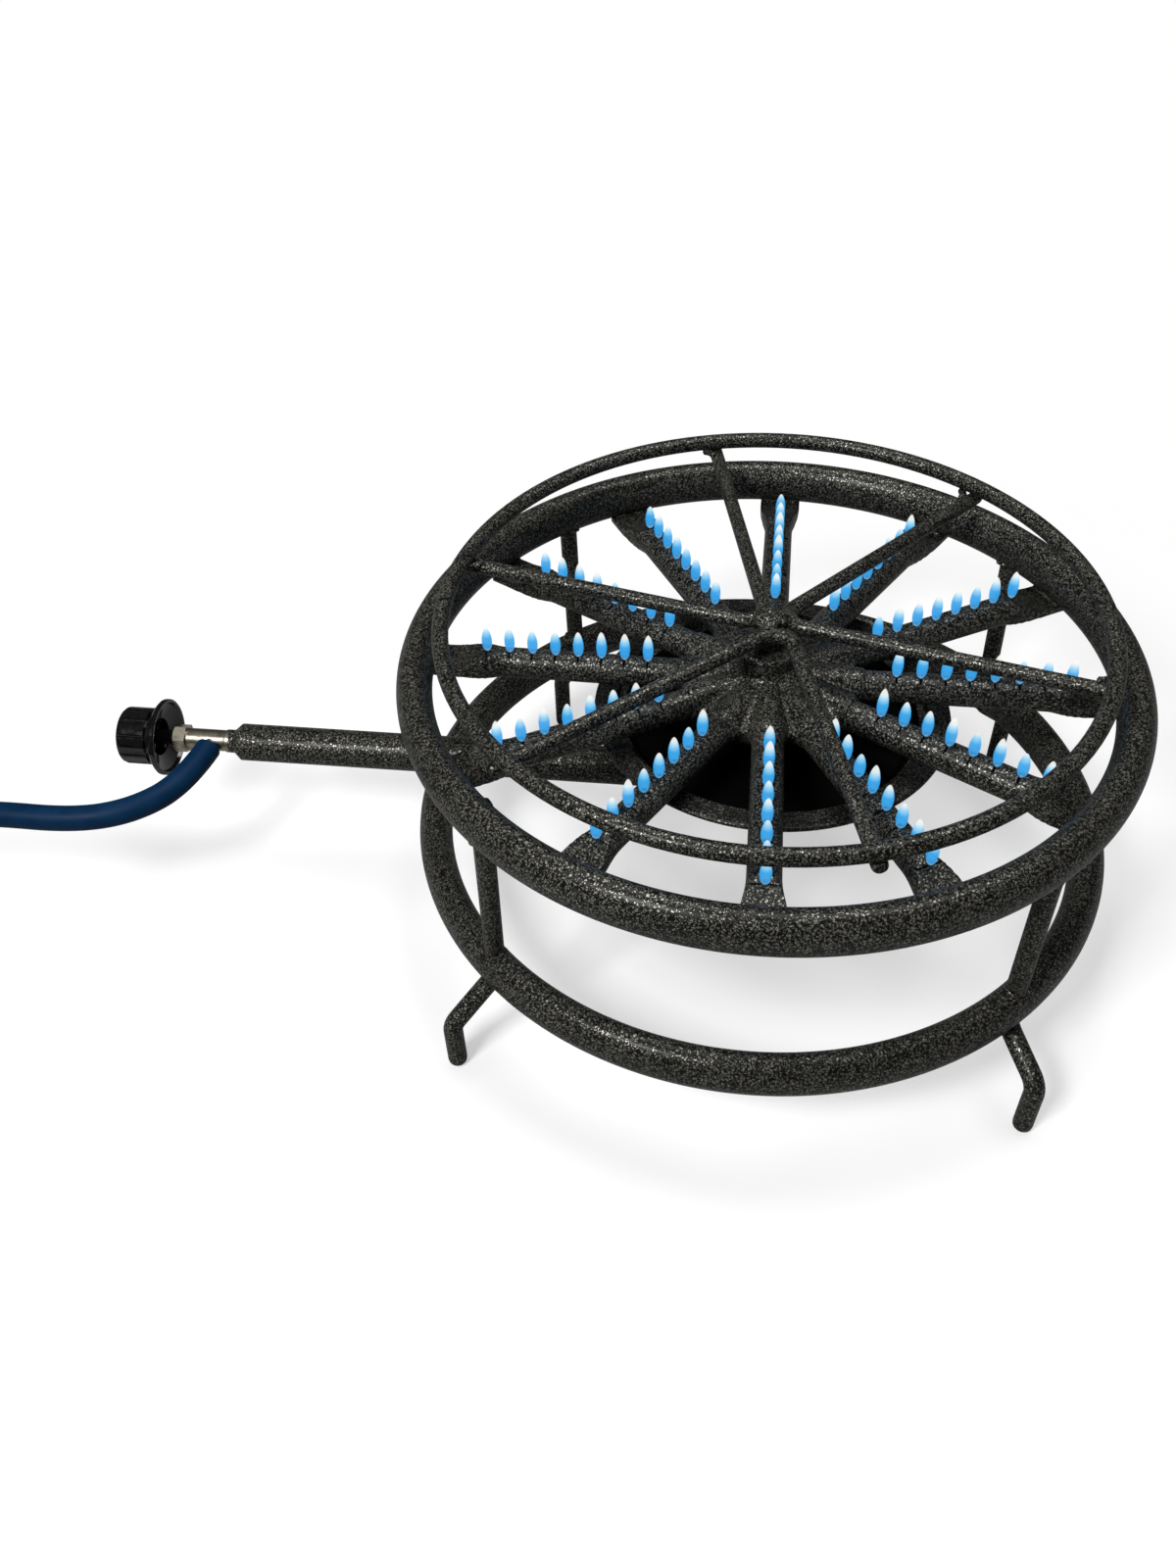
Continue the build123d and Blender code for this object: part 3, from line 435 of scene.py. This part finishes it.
arms = piece_of("burner_arms", [burner_axis + Vector((0, 0, arm_axis_z))] * len(arm_azimuths), (),
                "heading", [radians(azimuth) for azimuth in arm_azimuths])
bake(arms, fanning, fanning_inputs, tube_radius=arm_round * mm, lip_half_width=lip_half * mm,
     pinch_start=pinch_start * mm, lip_start=lip_start * mm, coat=coat)
settle(arms, "stand", *[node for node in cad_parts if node.startswith("burner_arm_")])


# The hub casting: bowl, boss, collar and necks are run together, and every inside corner is
# filled out round, as the sand mould leaves it.
def turned(shape, profile, centre=(0, 0, 0), ways=((1, 0, 0), (0, 1, 0), (0, 0, 1)), sides=96):
    """Add a closed body turned from (radius, distance) points; the last of its ways is its axis."""
    first, second, axis = (Vector(way) for way in ways)
    turns = [2 * pi * side / sides for side in range(sides)]
    rows = [[shape.verts.new(Vector(centre) + axis * distance
                             + radius * (first * cos(turn) + second * sin(turn))) for turn in turns]
            for radius, distance in profile]
    for lower, upper in zip(rows, rows[1:]):
        for side in range(sides):
            after = (side + 1) % sides
            shape.faces.new((lower[side], lower[after], upper[after], upper[side]))
    shape.faces.new(rows[0][::-1])
    shape.faces.new(rows[-1])


def poured(name, shape):
    """The object that holds a shape drawn in millimetres, its faces turned outwards."""
    bmesh.ops.scale(shape, vec=(mm, mm, mm), verts=shape.verts)
    bmesh.ops.recalc_face_normals(shape, faces=shape.faces)
    piece = piece_of(name)
    shape.to_mesh(piece.data)
    shape.free()
    return piece


casting = bmesh.new()
turned(casting, [(18, 146), (18, 162), (38, 165), (50, 170), (54, 179.5), (54, 182.5), (46, 186),
                 (21.5, 192.5), (18, 195.5)], burner_axis)               # bowl and crown
turned(casting, [(26, 145), (26, 149), (18, 151.5), (18, 166)])          # collar on the riser
turned(casting, [(18, 182), (18, 206.2), (17.2, 207)])                   # boss
for azimuth in arm_azimuths:
    turned(casting, [(12.4, 20), (12.2, 26), (11, 56.4), (10.2, 57.5)],  # neck
           burner_axis + Vector((0, 0, arm_axis_z)),
           (around(1.0, azimuth + 90), (0, 0, 1), around(1.0, azimuth)), sides=32)
hub = poured("cast_hub", casting)
drill = bmesh.new()
turned(drill, [(7.9, 189), (7.9, 206.4), (9.2, 207.6), (9.2, 212)], sides=64)
cutter = poured("socket_cutter", drill)
melt = hub.modifiers.new("melt", "REMESH")
melt.mode, melt.voxel_size = "VOXEL", 1.1 * mm
fill = hub.modifiers.new("fill", "SMOOTH")
fill.factor, fill.iterations = 0.5, 14
sink = hub.modifiers.new("sink", "BOOLEAN")
sink.operation, sink.solver, sink.object = "DIFFERENCE", "EXACT", cutter
mesh = bpy.data.meshes.new_from_object(hub.evaluated_get(bpy.context.evaluated_depsgraph_get()))
hub.modifiers.clear()
hub.data = mesh
bpy.data.objects.remove(cutter)
mesh.shade_smooth()
mesh.set_sharp_from_angle(angle=0.9)
mesh.materials.clear()
mesh.materials.append(coat)
settle(hub, "stand", "burner_hub")

arm_welds = []
for azimuth in arm_azimuths:
    way, across = around(1.0, azimuth), around(1.0, azimuth + 90)
    reach = sqrt(lip_weld_radius**2 - burner_axis.dot(across)**2) - burner_axis.dot(way)
    run = []
    for step in range(-10, 11):
        point = burner_axis + way * reach + across * (lip_weld_step * step)
        ring_side = burner_ring_z - ring_half_height(point.length - ring_radius)
        run.append(point + Vector((0, 0, (lip_top + ring_side) / 2)))
    arm_welds.append((run, 1.9))
weld_runs("arm_welds", arm_welds, "stand")

# ---------------------------------------------------------------- heat shield and lock nut
# A pan spun from thin sheet steel hangs under the hub, clamped against its collar by one broad
# hexagon nut on the riser.  Its dish is coloured dead black as painted shade from the hub above,
# and its rim carries the coat in a darker copy, which is painted shade too.
# painted shade: the dish's near-black colour, mottled a little, stands in for the hub's shadow
material, add, surface = shader("shield_painted_shade_black")
painted_shade_mottle = mottle(add, 38.0, 5.0).outputs["Fac"]
grit = add("ShaderNodeBump", {"Height": mottle(add, 900.0, 2.0).outputs["Fac"],
                              "Distance": 0.06 * mm, "Strength": 0.6})
feed(surface, {"Base Color": ramp(add, painted_shade_mottle, [(0.3, (0.0008, 0.0008, 0.0008)),
                                              (0.75, (0.002, 0.002, 0.0018))]),
               "Roughness": ramp(add, painted_shade_mottle, [(0.2, 0.42), (0.8, 0.6)]),
               "Specular IOR Level": 0.01, "Normal": grit.outputs["Normal"]})

# The pan's section, outwards from its edge and down from its rim: dish, step, flange and the
# rolled edge, then back underneath one sheet lower.  A swept section is drawn upside down.
shield_radius, shield_rim_z, shield_shift, shield_bead = 109.0, 162.0, 5.0, 1.7
edge = [(-91.0, -17.0), (-24.0, -17.0), (-17.0, -6.0), (-13.0, -5.0), (-12.0, 0.0), (-0.6, 0.0)]
edge += [(shield_bead * sin(radians(turn)), shield_bead * (cos(radians(turn)) - 1))
         for turn in range(0, 241, 30)]
edge += [(-1.5, -1.5), (-10.8, -1.5), (-12.0, -6.5), (-16.1, -7.6), (-23.1, -18.5), (-91.0, -18.5)]
pan = piece_of("spun_shield", [(out, -up, 0) for out, up in edge], chain(len(edge), closed=True))
bake(pan, rolling, rolling_inputs, ring_radius=shield_radius * mm,
     centre_height=shield_rim_z * mm, coat=material)
# the rim's coat is the stand's coat at half its flake brightness: painted shade
pan.data.materials.append(vein_coat("rim_coat_painted_shade", flake=(0.1, 0.098, 0.083)))
for point in pan.data.vertices:
    point.co.x += shield_shift * mm
# faces low in the dish keep the painted-shade black, and the rim takes the darkened coat
for face in pan.data.polygons:
    if face.center.z > (shield_rim_z - 6.0) * mm:
        face.material_index = 1
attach(pan, "stand")
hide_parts("heat_shield")
finish_node("shield_lock_nut", coat)

# ---------------------------------------------------------------- mixing tube
# A piece of gas pipe, bent up into the hub, in which gas and air mix.  It rests on the base ring
# and is welded there, and its outer end is drawn down on the valve, with one air hole underneath.
finish_node("mixing_tube", coat)

mixer_z, mixer_radius = 100.6, 12.7
tube_welds = []
for step_out in (-5.0, 5.0):
    ring_top = base_ring_z + ring_half_height(step_out)
    run = [(-ring_radius + step_out, step, (mixer_z - sqrt(mixer_radius**2 - step**2) + ring_top) / 2)
           for step in range(-8, 9)]
    tube_welds.append((run, 1.9))
weld_runs("mixing_tube_welds", tube_welds, "stand")

# ---------------------------------------------------------------- valve
# A small needle valve turned from brass bar: jet holder, body and side branch in one piece, with
# a barbed tail for the hose and a hexagon gland nut round the steel spindle.
brass, add, surface = shader("dull_brass")
tarnish = mottle(add, 180.0, 4.0).outputs["Fac"]
feed(surface, {"Base Color": ramp(add, tarnish, [(0.3, (0.17, 0.15, 0.115)), (0.7, (0.42, 0.385, 0.31))]),
               "Roughness": ramp(add, tarnish, [(0.3, 0.42), (0.7, 0.24)]), "Metallic": 1.0})
for node in ("valve_body", "gas_jet", "hose_tail", "gland_nut"):
    finish_node(node, brass)

steel, add, surface = shader("bare_steel")
wear = mottle(add, 240.0, 4.0).outputs["Fac"]
feed(surface, {"Base Color": ramp(add, wear, [(0.3, (0.25, 0.25, 0.25)), (0.7, (0.46, 0.46, 0.45))]),
               "Roughness": ramp(add, wear, [(0.3, 0.4), (0.7, 0.25)]), "Metallic": 1.0})
finish_node("valve_spindle", steel)

material, add, surface = shader("packing_cord")
fibre = mottle(add, 900.0, 3.0).outputs["Fac"]
feed(surface, {"Base Color": ramp(add, fibre, [(0.3, 0.03), (0.7, 0.09)]), "Roughness": 0.8})
finish_node("gland_packing", material)

# ---------------------------------------------------------------- control knob
# A one-piece knob moulded in black phenolic, with a scalloped grip and a round flange behind it
# that keeps the fingers off the warm valve.  It pushes onto the flat of the spindle.
material, add, surface = shader("moulded_black")
bloom = mottle(add, 300.0, 3.0).outputs["Fac"]
feed(surface, {"Base Color": ramp(add, bloom, [(0.3, 0.002), (0.7, 0.005)]),
               "Roughness": ramp(add, bloom, [(0.3, 0.08), (0.7, 0.16)])})
finish_node("control_knob", material)

# ---------------------------------------------------------------- pot trivet
# A ring of round bar with three V-bent bars welded beneath it and to a stub in the middle, which
# drops into the hub's boss, so that the whole trivet lifts off and turns.
for node in ("trivet_ring", "trivet_spigot"):
    finish_node(node, coat)

trivet_radius, bar_z, bar_radius, bar_bend = 194.7, 223.85, 4.5, 12.0
lean, lean_pivot = radians(1.4), Vector((0.0, 0.0, 198.0))


def leaned(point):
    """Tip a point of the trivet with it, about the middle of its socket."""
    return Matrix.Rotation(lean, 3, "X") @ (Vector(point) - lean_pivot) + lean_pivot


def bowed(first, middle, last, share):
    """Value this share of the way from first to last, drawn towards the middle one between."""
    return first * (1 - share)**2 + 2 * middle * share * (1 - share) + last * share**2


# Each V: the azimuth and sideways offset of its two straight bars, how far each end stands out
# past the ring, and the sides of the crossing that carry a web of weld.
vees = [((-14.5, 2.6, 6.0), (47.8, 0.6, 6.0), (1,)),
        ((102.1, 0.4, 6.0), (165.8, 2.6, 6.0), (1,)),
        ((222.0, 7.2, 6.0), (284.4, 9.2, 3.5), (1, -1))]
trivet_welds = []
for number, (first_bar, second_bar, webs) in enumerate(vees, start=1):
    bars = [(around(offset, azimuth + 90), around(1.0, azimuth), overhang)
            for azimuth, offset, overhang in (first_bar, second_bar)]
    (start, way, _), (other, other_way, _) = bars
    turn = way.x * other_way.y - way.y * other_way.x
    apart = other - start
    corner = start + way * ((apart.x * other_way.y - apart.y * other_way.x) / turn)
    ends = []
    for foot, way, overhang in bars:
        across = Vector((-way.y, way.x, 0))
        crossing, end = (foot + way * sqrt(distance**2 - foot.length**2)
                         for distance in (trivet_radius, trivet_radius + overhang))
        ends.append(end)
        for side in webs:
            run = []
            for step in range(9):
                inward = bowed(9.5, 3.2, 1.6, step / 8)
                aside = bowed(3.4, 3.6, 10.0, step / 8)
                point = crossing - way * inward + across * (side * aside)
                run.append(leaned(point + Vector((0, 0, bar_z + 3.6))))
            trivet_welds.append((run, 2.3))
    level = Vector((0, 0, bar_z))
    bent_bar("vee_bar_%d" % number, [leaned(point + level) for point in (ends[0], corner, ends[1])],
             bar_radius, bar_bend, "trivet", "trivet_bar_%d" % number)
    bisector = degrees(atan2(*((bars[0][1] + bars[1][1]).yx)))
    for height in (-3.0, 3.0):
        run = [leaned(around(8.1, bisector + 6.0 * step, bar_z + height)) for step in range(-8, 9)]
        trivet_welds.append((run, 2.4))
# on top of the stub the weld was wound inwards into a puddle
puddle = [leaned(around(8.0 - 0.16 * step, 26.0 * step, bar_z + bar_radius - 0.6 + 0.04 * step))
          for step in range(50)]
trivet_welds.append((puddle, 2.2))
weld_runs("trivet_welds", trivet_welds, "trivet")

# ---------------------------------------------------------------- gas hose
# Smooth blue gas hose of 17 mm outside and 10 mm bore.  It leaves the valve's branch with a wide
# bend, runs level beside the stand's tail, comes down to the ground and is put away as a flat coil.
hose_outer = 17.0 * mm
branch_turn = radians(8.0)
branch_way = Vector((-sin(branch_turn), -cos(branch_turn), 0.0))
hose_start = Vector((-373.0 * mm, 0.0, mixer_z * mm)) + branch_way * 9.0 * mm
route = [hose_start, hose_start + branch_way * 36.0 * mm] + [Vector(point) * mm for point in (
    (-403.4, -71.3, 99.4), (-439.3, -83.7, 98.8), (-499.3, -84.7, 101.5), (-575.0, -84.0, 92.0),
    (-636.0, -81.5, 63.0), (-692.0, -78.5, 31.5), (-728.0, -76.0, 9.8), (-764.0, -73.2, 9.8))]
coil_start = route[-1].copy()
coil_way = (route[-1] - route[-2]).normalized()
inward = Vector((coil_way.y, -coil_way.x, 0.0))
half_turn_ends = [0.0, 158.0, -36.0, 176.2, -54.2]
points_per_half_turn = 7
point_turn = pi / points_per_half_turn


def stand_out(turn):
    """Share by which control points this turn apart stand outside the arc that their line follows."""
    return 1.0 / (0.75 + 0.25 * cos(turn))


for half_turn, (near, far) in enumerate(zip(half_turn_ends, half_turn_ends[1:])):
    side = 1 if half_turn % 2 == 0 else -1
    centre = coil_start + inward * ((near * mm + far * mm) / 2)
    radius = stand_out(point_turn) * abs(far * mm - near * mm) / 2
    for number in range(points_per_half_turn):
        angle = (number + 0.5) * point_turn
        route.append(centre + radius * side * (coil_way * sin(angle) - inward * cos(angle)))
# the free end leaves the coil with a short turn the other way and a straight tail
tail_radius, tail_turn, tail_straight = 60.0 * mm, radians(50.0), 50.0 * mm
tail_step = tail_turn / 2
centre = coil_start + inward * (half_turn_ends[-1] * mm - tail_radius)
for angle in (tail_step / 2, 1.5 * tail_step):
    route.append(centre + tail_radius * stand_out(tail_step)
                 * (inward * cos(angle) + coil_way * sin(angle)))
tail_corner = centre + tail_radius * (inward * cos(tail_turn) + coil_way * sin(tail_turn))
tail_way = coil_way * cos(tail_turn) - inward * sin(tail_turn)
route += [tail_corner + tail_way * tail_radius * tan(tail_step / 2),
          tail_corner + tail_way * tail_straight]

curve = bpy.data.curves.new("gas_hose_line", "CURVE")
curve.dimensions = "3D"
spline = curve.splines.new("NURBS")
spline.points.add(len(route) - 1)
for point, place in zip(spline.points, route):
    point.co = (*place, 1.0)
spline.order_u = 3
spline.use_endpoint_u = True
spline.resolution_u = 12
curve.bevel_depth = hose_outer / 2
curve.bevel_resolution = 8
curve.use_fill_caps = True
hose = bpy.data.objects.new("blue_gas_hose", curve)
bpy.context.scene.collection.objects.link(hose)
material, add, surface = shader("hose_rubber_blue")
bloom = mottle(add, 60.0, 4.0).outputs["Fac"]
grit = add("ShaderNodeBump", {"Height": mottle(add, 1500.0, 2.0).outputs["Fac"],
                              "Distance": 0.03 * mm, "Strength": 0.5})
feed(surface, {"Base Color": ramp(add, bloom, [(0.3, (0.001, 0.012, 0.036)), (0.7, (0.002, 0.019, 0.052))]),
               "Roughness": ramp(add, bloom, [(0.3, 0.42), (0.7, 0.55)]),
               "Specular IOR Level": 0.06, "Normal": grit.outputs["Normal"]})
curve.materials.append(material)
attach(hose, "stand")
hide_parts("gas_hose", "gas_hose_coil")

material, add, surface = shader("strap_webbing")
weave = mottle(add, 700.0, 2.0).outputs["Fac"]
feed(surface, {"Base Color": ramp(add, weave, [(0.3, 0.01), (0.7, 0.03)]), "Roughness": 0.85})
finish_node("hose_tie", material)
finish_node("hose_end_nipple", steel)
finish_node("hose_end_nut", brass)

# ---------------------------------------------------------------- gas flames
# The burner is shown lit: one small blue flame stands over every sawn port.  They belong to the
# setting, as the floor does, and not to the stand.
burning, given, burning_inputs = new_tree("port_flames", flame_height="Float", flame_width="Float",
                                          seed="Int", glow="Material")
ball = grow(burning, "GeometryNodeMeshUVSphere", {"Segments": 16, "Rings": 14, "Radius": 0.5})
here = grow(burning, "GeometryNodeInputPosition").outputs[0]
x, y, z = grow(burning, "ShaderNodeSeparateXYZ", {0: here}).outputs
rise = maths(burning, "ADD", z, 0.5)
slim = maths(burning, "MULTIPLY", maths(burning, "POWER", rise, 2.0), 0.42)
slim = maths(burning, "SUBTRACT", 1.12, slim)
drawn = grow(burning, "ShaderNodeCombineXYZ", {0: maths(burning, "MULTIPLY", x, slim),
                                               1: maths(burning, "MULTIPLY", y, slim), 2: rise})
tongue = grow(burning, "GeometryNodeSetPosition", {"Geometry": ball.outputs["Mesh"],
                                                   "Position": drawn.outputs[0]}).outputs[0]
unlike = grow(burning, "FunctionNodeRandomValue", {2: 0.88, 3: 1.12, "Seed": given["Seed"]},
              data_type="FLOAT").outputs[1]
size = grow(burning, "ShaderNodeCombineXYZ", {0: given["Flame Width"], 1: given["Flame Width"],
                                              2: maths(burning, "MULTIPLY", given["Flame Height"], unlike)})
tongues = grow(burning, "GeometryNodeInstanceOnPoints",
               {"Points": given["Geometry"], "Instance": tongue, "Scale": size.outputs[0]}).outputs[0]
finished(burning, tongues, given["Glow"])

flame_foot, flame_tall, flame_wide = 188.6, 19.0, 6.6
gas, add, _ = shader("burning_gas")
height = add("ShaderNodeSeparateXYZ", {0: add("ShaderNodeTexCoord").outputs["Object"]}).outputs[2]
share = add("ShaderNodeMapRange", {0: height, 1: 189.0 * mm, 2: 209.0 * mm}).outputs[0]
facing = add("ShaderNodeLayerWeight", {"Blend": 0.5}).outputs["Facing"]
colour = ramp(add, share, [(0.0, (0.34, 0.70, 0.95)), (0.2, (0.02, 0.30, 0.74)), (0.55, (0.06, 0.42, 0.84)),
                           (0.74, (0.40, 0.74, 0.95)), (0.86, (1.0, 0.98, 0.92))])
glow = add("ShaderNodeEmission", {"Color": colour, "Strength": 1.0}).outputs[0]
clear = add("ShaderNodeBsdfTransparent").outputs[0]
body = add("ShaderNodeMath", {0: ramp(add, facing, [(0.0, 1.0), (0.55, 0.9), (0.95, 0.15)]),
                              1: ramp(add, share, [(0.0, 0.25), (0.12, 0.85), (0.75, 0.9), (1.0, 0.55)])},
           operation="MULTIPLY").outputs[0]
mixed = add("ShaderNodeMixShader", {0: body, 1: clear, 2: glow}).outputs[0]
feed(gas.node_tree.nodes["Material Output"], {"Surface": mixed})

port_tops = [burner_axis + around(first_port + port_pitch * port, azimuth, flame_foot)
             for azimuth in arm_azimuths for port in range(port_count)]
flames = piece_of("gas_flames", port_tops)
bake(flames, burning, burning_inputs, flame_height=flame_tall * mm, flame_width=flame_wide * mm,
     seed=7, glow=gas)

# ---------------------------------------------------------------- floor, light and camera
# A pale seamless floor that fades to plain white a little way off, a plain white surround that
# adds only a little light of its own, and two soft boxes overhead.
floor_reach = 12.0
corners = [(-floor_reach, -floor_reach, 0), (floor_reach, -floor_reach, 0),
           (floor_reach, floor_reach, 0), (-floor_reach, floor_reach, 0)]
floor_mesh = bpy.data.meshes.new("floor")
floor_mesh.from_pydata(corners, [], [(0, 1, 2, 3)])
floor = bpy.data.objects.new("floor", floor_mesh)
bpy.context.scene.collection.objects.link(floor)
floor.location.z = -0.4 * mm
plain_white = (1.0, 1.0, 1.0, 1.0)
material, add, surface = shader("pale_floor")
seen = add("ShaderNodeLightPath").outputs["Is Camera Ray"]
feed(surface, {"Roughness": 0.9, "Base Color": ramp(add, seen, [(0.0, 0.3), (1.0, 0.86)])})
glow = add("ShaderNodeEmission", {"Color": plain_white, "Strength": 1.0}).outputs[0]
place = add("ShaderNodeTexCoord").outputs["Object"]
far = add("ShaderNodeVectorMath", {0: place}, operation="LENGTH").outputs["Value"]
bright = add("ShaderNodeMapRange", {0: far, 1: 0.25, 2: 0.75, 3: 0.5, 4: 1.0},
             interpolation_type="SMOOTHSTEP").outputs[0]
share = add("ShaderNodeMath", {0: seen, 1: bright}, operation="MULTIPLY").outputs[0]
mixed = add("ShaderNodeMixShader", {0: share, 1: surface.outputs[0], 2: glow}).outputs[0]
feed(material.node_tree.nodes["Material Output"], {"Surface": mixed})
floor_mesh.materials.append(material)

world = bpy.data.worlds.new("studio")
bpy.context.scene.world = world
world.use_nodes = True
tree = world.node_tree
fill_light = tree.nodes["Background"]
feed(fill_light, {"Color": plain_white, "Strength": 0.06})
surround = grow(tree, "ShaderNodeBackground", {"Color": plain_white, "Strength": 1.0})
seen = grow(tree, "ShaderNodeLightPath").outputs["Is Camera Ray"]
mixed = grow(tree, "ShaderNodeMixShader", {0: seen, 1: fill_light.outputs[0], 2: surround.outputs[0]})
feed(tree.nodes["World Output"], {"Surface": mixed.outputs[0]})


def soft_box(name, place, aim, size, power):
    """A rectangular soft light, placed and aimed in metres; power in watts."""
    lamp = bpy.data.lights.new(name, "AREA")
    lamp.shape = "RECTANGLE"
    lamp.size, lamp.size_y = size
    lamp.energy = power
    box = bpy.data.objects.new(name, lamp)
    bpy.context.scene.collection.objects.link(box)
    box.location = place
    box.rotation_euler = (Vector(aim) - Vector(place)).to_track_quat("-Z", "Y").to_euler()


soft_box("overhead", (0.1, 0.25, 1.7), (0, 0, 0.15), (1.3, 0.8), 24.0)
soft_box("key", (-0.75, -1.15, 1.55), (0, 0, 0.15), (0.45, 0.45), 40.0)

camera_data = bpy.data.cameras.new("camera")
camera_data.sensor_fit = "VERTICAL"
camera_data.sensor_height = 36.0
camera_data.sensor_width = 27.0
camera_data.lens = 29.28
camera = bpy.data.objects.new("camera", camera_data)
bpy.context.scene.collection.objects.link(camera)
ahead = Vector((-0.1086, 0.7180, -0.6875)).normalized()
right = Vector((0.9920, 0.1233, -0.0280))
right = (right - ahead * right.dot(ahead)).normalized()
above = right.cross(ahead)
turn = Matrix((right, above, -ahead)).transposed().to_4x4()
camera.matrix_world = Matrix.Translation((-0.0185, -0.6230, 0.6783)) @ turn
bpy.context.scene.camera = camera
bpy.context.scene.view_settings.view_transform = "Standard"
